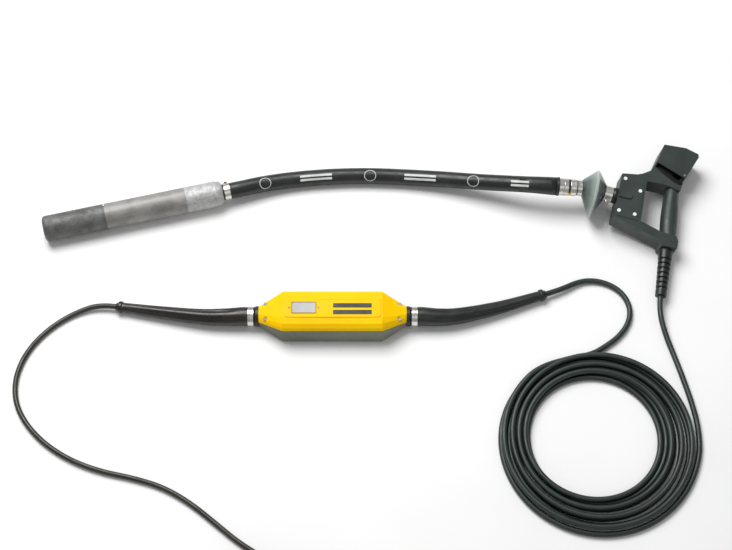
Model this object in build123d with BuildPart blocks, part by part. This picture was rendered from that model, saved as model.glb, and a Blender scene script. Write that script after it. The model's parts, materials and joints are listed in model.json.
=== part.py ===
from build123d import *
import math
import os

os.makedirs("parts", exist_ok=True)

# High-frequency internal concrete vibrator: a steel head with its motor inside, a protective hose,
# a D-shaped switch handle behind a rubber isolator, a coiled cable to an in-line frequency
# converter, and the mains lead with its plug.
# Millimetres, +Z up, everything lies on the floor at Z 0.
# The origin is the middle of the converter's flat underside.

# ---------------------------------------------------------------- driving dimensions
floor_gap = 0.2             # rounded pieces that lie on the floor stop this far above it
fit = 0.1                   # radial clearance of pieces that slip over each other
running_fit = 0.05          # radial clearance of a journal in its bore

# vibrating head
head_radius = 28.5
head_length = 400.0
head_rear = (-247.7, 305.1)         # plan position of the middle of the head's rear face
head_heading = 13.6                 # degrees that the head's axis turns from +X
tip_cap_length = 138.0
tip_corner = 8.5
tip_wall = 18.0                     # end wall in front of the front bearing
rear_cap_length = 82.0
rear_chamfer_length = 15.0
rear_face_radius = 21.5
head_wall = 4.4
spigot_length = 24.0                # how far each cap reaches into the motor tube
weight_chamber_radius = 21.5
bearing_bore_radius = 7.5
bearing_outer_radius = 17.5
bearing_width = 11.0
race_thickness = 2.9
ball_count = 8
shaft_radius = 6.5
stator_length = 100.0
stator_bore_radius = 15.5
air_gap = 0.35
winding_overhang = 12.0
winding_corner = 1.5
weight_length = 96.0
weight_gap = 1.0
oring_section = 2.0

# protective hose
hose_radius = 18.0
hose_bore_radius = 12.5
hose_cable_radius = 4.5
nipple_bore_radius = 6.0
nipple_grip = 32.0                  # how far a nipple reaches into the hose
clamp_width = 13.0
clamp_thickness = 1.2

# isolator between hose and handle
isolator_place = (572.8, 286.3)     # plan position of the middle of its rim
rim_radius = 53.5
rim_yaw = -11.0                     # between the hose's heading and the handle's
rim_half_width = 1.6
isolator_half_length = 25.5
isolator_neck_radius = 18.5
isolator_neck_length = 12.0
isolator_wall = 4.0
isolator_outlet_half = 22.5         # like isolator_half_length, on the handle's side
isolator_outlet_neck = 17.5
spigot_radius = 13.0
outlet_shift = (9.0, 1.5)           # the spigot's axis from the rim's middle, across the handle and up
coupling_radius = hose_radius - 2.0
sleeve_radius = hose_radius + 1.2
coupling_shift = (9.7, 5.0)         # the hose's axis from the rim's middle, in Y and Z
coupling_yaw = -3.0
coupling_pitch = 3.2

# handle
handle_yaw = -12.5
handle_pitch = 8.0
handle_roll = 2.5
handle_half = 22.0                  # half of the casing's thickness
handle_wall = 5.0
spigot_flange_radius = handle_half - handle_wall - outlet_shift[1] - 0.5
block_left = 49.0
block_right = 108.0
block_low = -52.5
block_high = 57.0
cover_thickness = 4.0
cover_proud = 1.2
cover_inset = 3.0
cover_screw_radius = 4.0
grip_depth = 37.0
relief_mouth = (179.1, -91.0)       # where the strain relief leaves the handle's foot
relief_lean = 2.7
relief_length = 110.5
relief_top_radius = 15.5
relief_end_radius = 12.0
relief_grooves = 7
relief_pitch = 11.5

# switch paddle, in its own frame: u along the neck's top edge, v away from it
neck_edge_start = (118.0, 96.5)
neck_edge_end = (187.0, 72.4)
paddle_gap = 9.0
paddle_half = 29.5
paddle_wall = 3.5
paddle_travel = 6.0
pivot_u = 67.5
pivot_v = 14.5
pin_radius = 2.5
lug_radius = 4.8
lug_half = 9.0
spring_radius = 3.9
spring_gap = 7.0                    # room for the return spring, between lug and cheek
plunger_u = 22.0
plunger_radius = 4.0
plunger_gap = 0.9

# converter
converter_half_length = 158.0
converter_straight_half = 106.0
converter_half_width = 47.5
base_height = 46.0
crown_height = 62.5
panel_height = 1.5
end_radius = 21.0
gland_height = 23.0
seam_end_height = 30.9
converter_wall = 4.0
gasket_thickness = 1.0
converter_screw_x = 143.0
converter_screw_y = 17.5
screw_head_radius = 4.2
screw_shank_radius = 2.5
boss_radius = 6.0

# boots, cables and plug
gland_flange_radius = 22.0
gland_flange_length = 8.0
gland_stub_radius = 16.5
gland_stub_length = 24.0
boot_start_radius = 20.4
boot_end_radius = 11.0
boot_collar_radius = 13.3
boot_collar_length = 14.0
cable_radius = 6.0                  # control cable, handle to converter
lead_radius = 5.75                  # mains lead
coil_centre = (557.2, -287.4)
coil_outer_radius = 212.0
coil_hole_centre = (543.2, -271.0)
coil_hole_radius = 132.0
coil_layers = 2.2
stored_centre = (-150.0, -618.0)
stored_mean_radius = 69.0
stored_columns = 3
stored_layers = 3
plug_radius = 19.5
plug_length = 52.0
plug_centre = (36.0, -592.0)
pin_spacing = 19.0
plug_pin_radius = 2.4
plug_pin_length = 19.0
pin_root_radius = 2.0               # inside the plug's body and just out of it
pin_root_length = 0.5


# ---------------------------------------------------------------- frames
def tilted(place, yaw, pitch, roll=0.0):
    """A plane at a point, turned about Z, then nose down, then rolled about its own x axis."""
    turned = Location(place, (0, 0, yaw)) * Location((0, 0, 0), (0, pitch, 0))
    return Plane(turned * Location((0, 0, 0), (roll, 0, 0)))


heading = math.radians(head_heading)
head = Plane(
    origin=(head_rear[0], head_rear[1], head_radius + floor_gap),
    x_dir=(-math.cos(heading), -math.sin(heading), 0),
    z_dir=(0, 0, 1),
)
isolator_origin = (*isolator_place, rim_radius)
coupling_origin = (
    isolator_place[0],
    isolator_place[1] + coupling_shift[0],
    rim_radius + coupling_shift[1],
)
coupling = tilted(coupling_origin, coupling_yaw, coupling_pitch)
handle = tilted(isolator_origin, handle_yaw, handle_pitch, handle_roll)
outlet = Plane(handle.location * Location((0, *outlet_shift)))
rim = tilted(isolator_origin, rim_yaw, (coupling_pitch + handle_pitch) / 2)

neck_run = neck_edge_end[0] - neck_edge_start[0]
neck_drop = neck_edge_end[1] - neck_edge_start[1]
neck_angle = math.degrees(math.atan2(neck_drop, neck_run))
switch = Plane(handle.location * Location((*neck_edge_start, 0), (0, 0, neck_angle)))

relief = Plane(handle.location * Location((*relief_mouth, 0), (0, 0, relief_lean - 90)))


# ---------------------------------------------------------------- shared shapes
def turn(plane, *points, mode=Mode.ADD):
    """Revolve a closed outline of (along, radius) points about the plane's x axis."""
    with BuildSketch(plane, mode=Mode.PRIVATE) as outline:
        with BuildLine():
            Polyline(*points, close=True)
        make_face()
    revolve(outline.sketch, axis=Axis(plane.origin, plane.x_dir), mode=mode)


def ring(plane, start, end, inner, outer, mode=Mode.ADD):
    """A sleeve about the plane's x axis."""
    turn(plane, (start, inner), (end, inner), (end, outer), (start, outer), mode=mode)


def rod(plane, start, end, radius, mode=Mode.ADD):
    """A solid round bar about the plane's x axis."""
    ring(plane, start, end, 0, radius, mode=mode)


def prism(plane, low, high, *points, corner=0.0, mode=Mode.ADD):
    """A flat outline pulled along the plane's normal from low to high."""
    with BuildSketch(plane.offset(low), mode=Mode.PRIVATE) as outline:
        with BuildLine():
            Polyline(*points, close=True)
        make_face()
        if corner:
            fillet(outline.vertices(), corner)
    extrude(outline.sketch, amount=high - low, mode=mode)


def block(plane, x_range, y_range, z_range, corner=0.0, mode=Mode.ADD):
    """A box between two values on each of the plane's axes, with rounded upright edges."""
    (left, right), (near, far) = x_range, y_range
    points = ((left, near), (right, near), (right, far), (left, far))
    prism(plane, *z_range, *points, corner=corner, mode=mode)


def peg(plane, x, y, low, high, radius, mode=Mode.ADD):
    """A round peg along the plane's normal."""
    with BuildSketch(plane.offset(low), mode=Mode.PRIVATE) as outline:
        with Locations((x, y)):
            Circle(radius)
    extrude(outline.sketch, amount=high - low, mode=mode)


def corner_radii(points, tightest):
    """As large an arc at each point of a route as its two runs allow."""
    radii = []
    for before, here, after in zip(points, points[1:], points[2:]):
        run_in = Vector(*here) - Vector(*before)
        run_out = Vector(*after) - Vector(*here)
        half_turn = math.radians(run_in.get_angle(run_out)) / 2
        shorter = min(run_in.length, run_out.length)
        radii.append(0.45 * shorter / math.tan(half_turn))
    print("radii", [round(radius) for radius in radii], "tightest allowed", tightest)
    return radii


def start_plane(points):
    """The plane across the first run of a route."""
    first = Vector(*points[0])
    return Plane(origin=first, z_dir=Vector(*points[1]) - first)


def report_tube(name, piece, section, path):
    """Print how far a tube's volume is from its section times its length."""
    print(name, "volume ratio", round(piece.part.volume / (section * path.wire().length), 4))


def save(name, piece):
    """Label a finished piece and write it."""
    piece.part.label = name
    export_step(piece.part, f"parts/{name}.step")


# ---------------------------------------------------------------- vibrating head
motor_start = rear_cap_length
motor_end = head_length - tip_cap_length
motor_bore_radius = head_radius - head_wall
cap_spigot_radius = motor_bore_radius - fit
bearing_seat_radius = bearing_outer_radius + running_fit
front_bearing = head_length - tip_wall - bearing_width
middle_bearing = motor_end - spigot_length + 2
rear_bearing = motor_start + spigot_length - bearing_width - 4
bearing_starts = (rear_bearing, middle_bearing, front_bearing)
stator_start = (motor_start + motor_end - stator_length) / 2
stator_end = stator_start + stator_length
weight_start = middle_bearing + bearing_width + 12
weight_end = weight_start + weight_length

with BuildPart() as head_tip_cap:
    with BuildSketch(head) as tip_profile:
        with BuildLine():
            Polyline(
                (motor_end - spigot_length, bearing_seat_radius),
                (motor_end - spigot_length, cap_spigot_radius),
                (motor_end, cap_spigot_radius),
                (motor_end, head_radius),
                (head_length, head_radius),
                (head_length, 0),
                (head_length - tip_wall, 0),
                (head_length - tip_wall, bearing_seat_radius),
                (front_bearing - 2, bearing_seat_radius),
                (front_bearing - 2, weight_chamber_radius),
                (middle_bearing + bearing_width + 2, weight_chamber_radius),
                (middle_bearing + bearing_width + 2, bearing_seat_radius),
                close=True,
            )
        make_face()
        tip_edge = tip_profile.vertices().sort_by_distance((head_length, head_radius, 0))[0]
        fillet(tip_edge, tip_corner)
    revolve(axis=Axis(head.origin, head.x_dir))
    ring(head, motor_end - 9, motor_end - 9 + oring_section + 0.4,
         cap_spigot_radius - oring_section, cap_spigot_radius + 1, mode=Mode.SUBTRACT)
save("head_tip_cap", head_tip_cap)

with BuildPart() as head_motor_tube:
    ring(head, motor_start, motor_end, motor_bore_radius, head_radius)
save("head_motor_tube", head_motor_tube)

with BuildPart() as head_rear_cap:
    turn(
        head,
        (0, 9),
        (0, rear_face_radius),
        (rear_chamfer_length / 3, rear_face_radius + 4.6),
        (rear_chamfer_length, head_radius),
        (motor_start, head_radius),
        (motor_start, cap_spigot_radius),
        (motor_start + spigot_length, cap_spigot_radius),
        (motor_start + spigot_length, bearing_seat_radius),
        (rear_bearing, bearing_seat_radius),
        (rear_bearing, 13),
        (rear_bearing - 6, 13),
        (rear_bearing - 6, 20),
        (12, 20),
        (12, 9),
    )
    ring(head, motor_start + 7, motor_start + 7 + oring_section + 0.4,
         cap_spigot_radius - oring_section, cap_spigot_radius + 1, mode=Mode.SUBTRACT)
save("head_rear_cap", head_rear_cap)

with BuildPart() as head_seal_rings:
    for groove in (motor_start + 7.2, motor_end - 8.8):
        ring(head, groove, groove + oring_section,
             cap_spigot_radius - oring_section + fit, cap_spigot_radius)
save("head_seal_rings", head_seal_rings)

with BuildPart() as stator_core:
    ring(head, stator_start, stator_end, stator_bore_radius, motor_bore_radius - running_fit)
save("stator_core", stator_core)

with BuildPart() as stator_windings:
    for start in (stator_start - winding_overhang, stator_end):
        ring(head, start, start + winding_overhang, stator_bore_radius + 1, motor_bore_radius - 2)
    chamfer(stator_windings.edges().filter_by(GeomType.CIRCLE), winding_corner)
save("stator_windings", stator_windings)

with BuildPart() as bearing_outer_rings:
    for start in bearing_starts:
        ring(head, start, start + bearing_width,
             bearing_outer_radius - race_thickness, bearing_outer_radius)
save("bearing_outer_rings", bearing_outer_rings)

with BuildPart() as bearing_inner_rings:
    for start in bearing_starts:
        ring(head, start, start + bearing_width,
             bearing_bore_radius, bearing_bore_radius + race_thickness)
save("bearing_inner_rings", bearing_inner_rings)

ball_space = bearing_outer_radius - bearing_bore_radius - 2 * race_thickness
ball_radius = ball_space / 2 - running_fit
ball_pitch_radius = (bearing_outer_radius + bearing_bore_radius) / 2


def ball_places(start):
    """The middles of one bearing's balls, in the head's frame."""
    middle = start + bearing_width / 2
    for number in range(ball_count):
        angle = 2 * math.pi * number / ball_count
        yield (middle, ball_pitch_radius * math.cos(angle), ball_pitch_radius * math.sin(angle))


with BuildPart() as bearing_balls:
    for start in bearing_starts:
        with Locations([Location(head.from_local_coords(place)) for place in ball_places(start)]):
            Sphere(ball_radius)
save("bearing_balls", bearing_balls)

with BuildPart() as bearing_cages:
    for start in bearing_starts:
        ring(head, start + 2.5, start + bearing_width - 2.5,
             ball_pitch_radius - 0.8, ball_pitch_radius + 0.8)
        with Locations([Location(head.from_local_coords(place)) for place in ball_places(start)]):
            Sphere(ball_radius + running_fit, mode=Mode.SUBTRACT)
save("bearing_cages", bearing_cages)

with BuildPart() as rotor_shaft:
    rod(head, rear_bearing - 3, front_bearing + bearing_width, shaft_radius)
    for start in bearing_starts:
        rod(head, start, start + bearing_width, bearing_bore_radius)
save("rotor_shaft", rotor_shaft)

with BuildPart() as rotor_core:
    ring(head, stator_start + 1, stator_end - 1, shaft_radius, stator_bore_radius - air_gap)
save("rotor_core", rotor_core)

with BuildPart() as eccentric_weight:
    ring(head, weight_start, weight_end, shaft_radius, weight_chamber_radius - weight_gap)
    block(head, (weight_start - 1, weight_end + 1), (-30, 30), (2, 30), mode=Mode.SUBTRACT)
save("eccentric_weight", eccentric_weight)

terminal_disc_rear = 46.0
terminal_disc_front = 58.0
terminal_post_circle = 12.0
with BuildPart() as head_terminal_disc:
    ring(head, terminal_disc_rear, terminal_disc_front, 3, 19)
    for number in range(3):
        angle = 2 * math.pi * number / 3
        post_place = (0, terminal_post_circle * math.cos(angle), terminal_post_circle * math.sin(angle))
        post = Plane(origin=head.from_local_coords(post_place), x_dir=head.x_dir, z_dir=head.z_dir)
        rod(post, terminal_disc_front, terminal_disc_front + 6, 2)
save("head_terminal_disc", head_terminal_disc)

with BuildPart() as head_hose_nipple:
    turn(
        head,
        (-nipple_grip, nipple_bore_radius),
        (11, nipple_bore_radius),
        (11, 9 - running_fit),
        (0, 9 - running_fit),
        (0, hose_bore_radius - fit),
        (-nipple_grip + 3, hose_bore_radius - fit),
        (-nipple_grip, hose_bore_radius - 1.2),
    )
save("head_hose_nipple", head_hose_nipple)


clamp_housing_gap = 0.05
clamp_housing_depth = 6.0
clamp_housing_half = 8.0


def clamp_band(plane, start, radius):
    """A worm-drive band with its screw housing on the floor side."""
    ring(plane, start, start + clamp_width, radius, radius + clamp_thickness)


def clamp_housing(plane, start, radius, side):
    """The screw housing of a worm-drive band, on its +y (side 1) or -y (side -1) flank."""
    low = radius + clamp_thickness + clamp_housing_gap
    reach = sorted((side * low, side * (low + clamp_housing_depth)))
    block(plane, (start + 1.5, start + clamp_width - 1.5), reach, (-clamp_housing_half, clamp_housing_half))
    middle = side * (low + clamp_housing_depth / 2)
    screw_place = (start + clamp_width / 2, middle, clamp_housing_half)
    screw = Plane(origin=plane.from_local_coords(screw_place),
                  x_dir=plane.z_dir, z_dir=plane.x_dir)
    rod(screw, 0, 5, 3.2)


head_clamp_start = -clamp_width - 4

with BuildPart() as head_hose_clamp:
    clamp_band(head, head_clamp_start, hose_radius + fit)
save("head_hose_clamp", head_hose_clamp)

# ---------------------------------------------------------------- protective hose
hose_end = -77.0                    # where the hose ends, along the coupling's axis
hose_exit = tuple(coupling.from_local_coords((hose_end, 0, 0)))
hose_lead = tuple(coupling.from_local_coords((hose_end - 44, 0, 0)))
head_exit = tuple(head.from_local_coords((0, 0, 0)))
head_lead = tuple(head.from_local_coords((-42, 0, 0)))
hose_floor = hose_radius + floor_gap
hose_route = [
    head_exit,
    head_lead,
    (-150.0, 333.5, 22.0),
    (-80.0, 346.5, hose_floor),
    (0.0, 353.5, hose_floor),
    (82.0, 355.0, hose_floor + 0.3),
    (165.0, 350.5, 19.0),
    (245.0, 341.0, 26.0),
    (325.0, 325.0, 40.5),
    (398.0, 310.0, 58.0),
    hose_lead,
    hose_exit,
]
hose_radii = corner_radii(hose_route, 5 * 2 * hose_radius)

with BuildPart() as protective_hose:
    with BuildLine() as hose_path:
        FilletPolyline(*hose_route, radius=hose_radii)
    with BuildSketch(start_plane(hose_route)):
        Circle(hose_radius)
        Circle(hose_bore_radius, mode=Mode.SUBTRACT)
    sweep()
report_tube("protective_hose", protective_hose,
            math.pi * (hose_radius**2 - hose_bore_radius**2), hose_path)
save("protective_hose", protective_hose)

with BuildPart() as hose_power_cable:
    with BuildLine():
        FilletPolyline(
            head.from_local_coords((45, 0, 0)),
            *hose_route[1:-1],
            coupling.from_local_coords((-isolator_half_length - 4, 0, 0)),
            radius=hose_radii,
        )
    with BuildSketch(Plane(origin=head.from_local_coords((45, 0, 0)), z_dir=head.x_dir)):
        Circle(hose_cable_radius)
    sweep()
save("hose_power_cable", hose_power_cable)

# ---------------------------------------------------------------- coupling and isolator
coupling_shoulder = -isolator_half_length - isolator_neck_length - 1
ferrule_end = hose_end + 20.0
seal_end = ferrule_end + 5.0

with BuildPart() as handle_hose_nipple:
    turn(
        coupling,
        (hose_end - nipple_grip, nipple_bore_radius),
        (coupling_shoulder + 18, nipple_bore_radius),
        (coupling_shoulder + 18, spigot_radius - running_fit),
        (coupling_shoulder, spigot_radius - running_fit),
        (coupling_shoulder, coupling_radius),
        (hose_end, coupling_radius),
        (hose_end, hose_bore_radius - fit),
        (hose_end - nipple_grip + 3, hose_bore_radius - fit),
        (hose_end - nipple_grip, hose_bore_radius - 1.2),
    )
save("handle_hose_nipple", handle_hose_nipple)

with BuildPart() as coupling_rubber_rings:
    turn(
        coupling,
        (hose_end - 7, hose_radius + fit),
        (hose_end, hose_radius + fit),
        (hose_end, hose_radius + 3.0),
        (hose_end - 5, hose_radius + 2.4),
        (hose_end - 7, hose_radius + 0.8),
    )
    ring(coupling, ferrule_end + 0.1, seal_end - 0.1, coupling_radius + running_fit,
         sleeve_radius - 1.2)
save("coupling_rubber_rings", coupling_rubber_rings)

with BuildPart() as coupling_sleeves:
    turn(
        coupling,
        (hose_end + 0.3, coupling_radius + running_fit),
        (ferrule_end, coupling_radius + running_fit),
        (ferrule_end, sleeve_radius),
        (hose_end + 12, sleeve_radius),
        (hose_end + 11, sleeve_radius - 0.6),
        (hose_end + 10, sleeve_radius),
        (hose_end + 0.3, sleeve_radius),
    )
    turn(
        coupling,
        (seal_end, coupling_radius + running_fit),
        (coupling_shoulder, coupling_radius + running_fit),
        (coupling_shoulder, sleeve_radius - 1.2),
        (coupling_shoulder - 1, sleeve_radius - 0.7),
        (seal_end + 1, sleeve_radius - 0.7),
        (seal_end, sleeve_radius - 1.2),
    )
save("coupling_sleeves", coupling_sleeves)

neck_start = isolator_half_length
outlet_start = isolator_outlet_half
neck_outer = spigot_radius + 3.2


def circle_on(plane, offset, radius):
    """A round section across a plane's x axis."""
    across = Plane(origin=plane.from_local_coords((offset, 0, 0)), x_dir=plane.y_dir,
                   z_dir=plane.x_dir)
    with BuildSketch(across, mode=Mode.PRIVATE) as section:
        Circle(radius)
    return section.sketch.faces()[0]


with BuildPart() as isolator:
    loft(
        [
            circle_on(coupling, -neck_start, isolator_neck_radius),
            circle_on(rim, -rim_half_width, rim_radius - 0.6),
            circle_on(rim, rim_half_width, rim_radius - 0.6),
            circle_on(outlet, outlet_start, isolator_neck_radius),
        ],
        ruled=True,
    )
    loft(
        [
            circle_on(coupling, -neck_start + 2, isolator_neck_radius - isolator_wall),
            circle_on(rim, 0, rim_radius - isolator_wall * 2),
            circle_on(outlet, outlet_start - 2, isolator_neck_radius - isolator_wall),
        ],
        ruled=True,
        mode=Mode.SUBTRACT,
    )
    rod(coupling, -neck_start - 1, -neck_start + 8, spigot_radius, mode=Mode.SUBTRACT)
    rod(outlet, outlet_start - 8, outlet_start + 1, spigot_radius, mode=Mode.SUBTRACT)
    ring(coupling, -neck_start - isolator_neck_length, -neck_start, spigot_radius, neck_outer)
    ring(outlet, outlet_start, outlet_start + isolator_outlet_neck, spigot_radius, neck_outer)
save("isolator", isolator)

rear_clamp_start = outlet_start + 0.5
with BuildPart() as isolator_clamps:
    ring(coupling, -neck_start - isolator_neck_length + 1, -neck_start - 1,
         neck_outer + fit, neck_outer + fit + 1.2)
    ring(outlet, rear_clamp_start, rear_clamp_start + isolator_outlet_neck - 1,
         neck_outer + fit, neck_outer + fit + 1.4)
save("isolator_clamps", isolator_clamps)

with BuildPart() as clamp_screws:
    clamp_housing(head, head_clamp_start, hose_radius + fit, -1)
    clamp_housing(outlet, rear_clamp_start + 1.5, neck_outer + fit + 0.2, -1)
save("clamp_screws", clamp_screws)

collar_start = outlet_start + isolator_outlet_neck + 0.5
with BuildPart() as handle_spigot:
    turn(
        outlet,
        (outlet_start - 6, nipple_bore_radius + 2),
        (block_left + 14, nipple_bore_radius + 2),
        (block_left + 14, spigot_flange_radius),
        (block_left + handle_wall + 0.2, spigot_flange_radius),
        (block_left + handle_wall + 0.2, spigot_radius - running_fit),
        (outlet_start - 6, spigot_radius - running_fit),
    )
save("handle_spigot", handle_spigot)

collar_radius = neck_outer + 1.6
with BuildPart() as spigot_collar:
    turn(
        outlet,
        (collar_start, spigot_radius + fit),
        (block_left - 0.3, spigot_radius + fit),
        (block_left - 0.3, collar_radius),
        (collar_start + 4, collar_radius),
        (collar_start, collar_radius - 1.5),
    )
save("spigot_collar", spigot_collar)

# ---------------------------------------------------------------- handle casing
foot_slope = math.tan(math.radians(relief_lean))
foot_left = relief_mouth[0] - 15.8
foot_right = relief_mouth[0] + 18.9
handle_outline = [
    (block_left, block_low),
    (158.5, -80.5),
    (foot_left, relief_mouth[1] + foot_slope * (foot_left - relief_mouth[0])),
    (foot_right, relief_mouth[1] + foot_slope * (foot_right - relief_mouth[0])),
    (198.0, -72.0),
    (192.0, -61.0),
    (154.0, -59.0),
    (block_right + 1.5, -47.0),
    (block_right, 54.0),
    (146.0, 57.0),
    (184.5, 51.0),
    neck_edge_end,
    neck_edge_start,
    (113.0, 83.0),
    (95.0, 69.5),
    (85.0, 64.5),
    (block_left + 1.5, block_high),
]
grip_sections = [          # (y, middle x, width) of the grip bar, foot to neck
    (-66.0, 179.5, 33.5),
    (-25.0, 175.4, 38.5),
    (12.0, 172.9, 36.5),
    (57.0, 169.9, 31.0),
]
pocket_x = (block_left + handle_wall, block_right - 7)
pocket_y = (-41.0, 50.0)
pocket_floor = -handle_half + handle_wall
switch_seat = 7.0
switch_u = (8.0, 46.0)
switch_half = 13.0
cover_points = [(59.2, 44.6), (96.4, 23.4), (57.4, -36.6), (93.0, -36.5)]


cover_inset_right = 4.5
cover_inset_low = 4.0
cover_inset_high = 2.0
relief_socket_depth = 12.0
relief_socket_radius = 9.5
boss_radius = 5.5
boss_hole_radius = 2.1


def casing():
    """The handle's whole form, before it's parted into two shells."""
    prism(handle, -handle_half, handle_half, *handle_outline, corner=1.8)
    sections = []
    for y, middle, width in grip_sections:
        across = Plane(origin=handle.from_local_coords((middle, y, 0)), x_dir=handle.x_dir,
                       z_dir=handle.y_dir)
        with BuildSketch(across, mode=Mode.PRIVATE) as section:
            Ellipse(width / 2, grip_depth / 2)
        sections.append(section.sketch.faces()[0])
    loft(sections)
    peg(switch, pivot_u, pivot_v, -lug_half, lug_half, lug_radius)
    block(switch, (pivot_u - lug_radius, pivot_u + lug_radius), (-4, pivot_v),
          (-lug_half, lug_half))
    block(handle, pocket_x, pocket_y, (pocket_floor, handle_half + 1), mode=Mode.SUBTRACT)
    rod(outlet, block_left - 1, block_left + 9, spigot_radius + running_fit, mode=Mode.SUBTRACT)
    block(switch, switch_u, (-switch_seat, 1), (-switch_half - fit, switch_half + fit),
          mode=Mode.SUBTRACT)
    peg(switch, pivot_u, pivot_v, -lug_half - 1, lug_half + 1, pin_radius, mode=Mode.SUBTRACT)
    rod(relief, -relief_socket_depth, 1, relief_socket_radius, mode=Mode.SUBTRACT)


with BuildPart() as handle_shell_lower:
    casing()
    split(bisect_by=handle, keep=Keep.BOTTOM)
save("handle_shell_lower", handle_shell_lower)

with BuildPart() as handle_shell_upper:
    casing()
    split(bisect_by=handle, keep=Keep.TOP)
    for x, y in cover_points:
        peg(handle, x, y, 2, handle_half, boss_radius)
        peg(handle, x, y, 2, handle_half + 1, boss_hole_radius, mode=Mode.SUBTRACT)
    block(handle, (block_left + cover_inset, block_right - cover_inset_right),
          (block_low + cover_inset_low, block_high - cover_inset_high),
          (handle_half - cover_thickness + cover_proud - 0.8, handle_half + 1), corner=3,
          mode=Mode.SUBTRACT)
save("handle_shell_upper", handle_shell_upper)

cover_x = (block_left + cover_inset + fit, block_right - cover_inset_right - fit)
cover_y = (block_low + cover_inset_low + fit, block_high - cover_inset_high - fit)
cover_low = handle_half - cover_thickness + cover_proud
hump_middle = 5.0
hump_length = 36.0
hump_width = 15.0
hump_end = 29.0                     # how far the hump reaches past the cover's left edge
with BuildPart() as handle_cover:
    block(handle, cover_x, cover_y, (cover_low, handle_half + cover_proud), corner=3)
    with BuildSketch(handle.offset(handle_half), mode=Mode.PRIVATE) as hump:
        with Locations((cover_x[0] + hump_end - hump_length / 2, hump_middle)):
            SlotOverall(hump_length, hump_width)
    extrude(hump.sketch, amount=cover_proud + 3.2)
    block(handle, (block_left - 20, cover_x[0]), (-20, 20), (0, 40), mode=Mode.SUBTRACT)
    for x, y in cover_points:
        peg(handle, x, y, cover_low - 1, handle_half + 6, 2.6, mode=Mode.SUBTRACT)
save("handle_cover", handle_cover)

with BuildPart() as handle_cover_gasket:
    block(handle, cover_x, cover_y, (cover_low - 0.75, cover_low), corner=3)
    block(handle, (pocket_x[0] + 1, pocket_x[1] - 1), (pocket_y[0] + 1, pocket_y[1] - 1),
          (0, 40), mode=Mode.SUBTRACT)
    for x, y in cover_points:
        peg(handle, x, y, cover_low - 0.75, cover_low, 5.2)
        peg(handle, x, y, cover_low - 2, handle_half + 6, 2.6, mode=Mode.SUBTRACT)
save("handle_cover_gasket", handle_cover_gasket)

with BuildPart() as handle_cover_screws:
    for x, y in cover_points:
        peg(handle, x, y, 6, handle_half + cover_proud, 2.0)
        peg(handle, x, y, handle_half + cover_proud, handle_half + cover_proud + 2.6,
            cover_screw_radius)
save("handle_cover_screws", handle_cover_screws)

with BuildPart() as terminal_block:
    terminal_top = pocket_floor + 14
    block(handle, (68, 92), (-26, 22), (pocket_floor, terminal_top))
    for number in range(4):
        peg(handle, 80, -20 + 12 * number, terminal_top, terminal_top + 2, 3)
save("terminal_block", terminal_block)

# ---------------------------------------------------------------- switch
body_top = 28.0
plunger_top = body_top + 8.0
plunger_travel = (pivot_u - plunger_u) * math.radians(paddle_travel)
print("plunger travel", round(plunger_travel, 3), "mm for", paddle_travel, "degrees")

with BuildPart() as switch_body:
    block(switch, (switch_u[0] + fit, switch_u[1] - fit), (-switch_seat, body_top),
          (-switch_half, switch_half))
    bore = Plane(origin=switch.from_local_coords((plunger_u, 0, 0)), x_dir=switch.y_dir,
                 z_dir=switch.z_dir)
    rod(bore, body_top - 14, body_top + 1, plunger_radius + 0.3, mode=Mode.SUBTRACT)
save("switch_body", switch_body)

with BuildPart() as switch_plunger:
    turn(
        bore,
        (body_top - 8, 0),
        (plunger_top, 0),
        (plunger_top - 0.3, plunger_radius * 0.45),
        (plunger_top - 1.5, plunger_radius),
        (body_top - 8, plunger_radius),
    )
save("switch_plunger", switch_plunger)

paddle_outline = [
    (-1.0, paddle_gap),
    (-6.4, 57.5),
    (38.0, 78.7),
    (68.8, 81.8),
    (73.3, 75.0),
    (72.7, paddle_gap),
]
with BuildPart() as switch_paddle:
    prism(switch, -paddle_half, paddle_half, *paddle_outline, corner=2.5)
    top_edges = switch_paddle.faces().sort_by(Axis(switch.origin, switch.z_dir))[-1].edges()
    chamfer(top_edges, 1.5)
    with BuildSketch(switch.offset(-paddle_half + paddle_wall), mode=Mode.PRIVATE) as hollow:
        with BuildLine():
            Polyline(*paddle_outline, close=True)
        make_face()
        offset(amount=-paddle_wall, kind=Kind.INTERSECTION)
    extrude(hollow.sketch, amount=2 * (paddle_half - paddle_wall), mode=Mode.SUBTRACT)
    block(switch, (paddle_wall, 69.0), (paddle_gap - 1, paddle_gap + paddle_wall + 1),
          (-paddle_half + paddle_wall, paddle_half - paddle_wall), mode=Mode.SUBTRACT)
    block(switch, (pivot_u - lug_radius - 2, 80), (0, pivot_v + lug_radius + 4),
          (-lug_half - 0.8, lug_half + 0.8), mode=Mode.SUBTRACT)
    rib = Plane(origin=switch.from_local_coords((plunger_u, 0, 0)), x_dir=switch.y_dir,
                z_dir=switch.z_dir)
    rod(rib, plunger_top + plunger_gap, 66, 5.0)
    peg(switch, pivot_u, pivot_v, lug_half, lug_half + spring_gap, spring_radius + 0.4,
        mode=Mode.SUBTRACT)
    peg(switch, pivot_u, pivot_v, lug_half + spring_gap, paddle_half - 1, lug_radius)
    peg(switch, pivot_u, pivot_v, -paddle_half + 1, -lug_half - spring_gap, lug_radius)
    peg(switch, pivot_u, pivot_v, -40, 40, pin_radius + running_fit, mode=Mode.SUBTRACT)
save("switch_paddle", switch_paddle)

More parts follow.
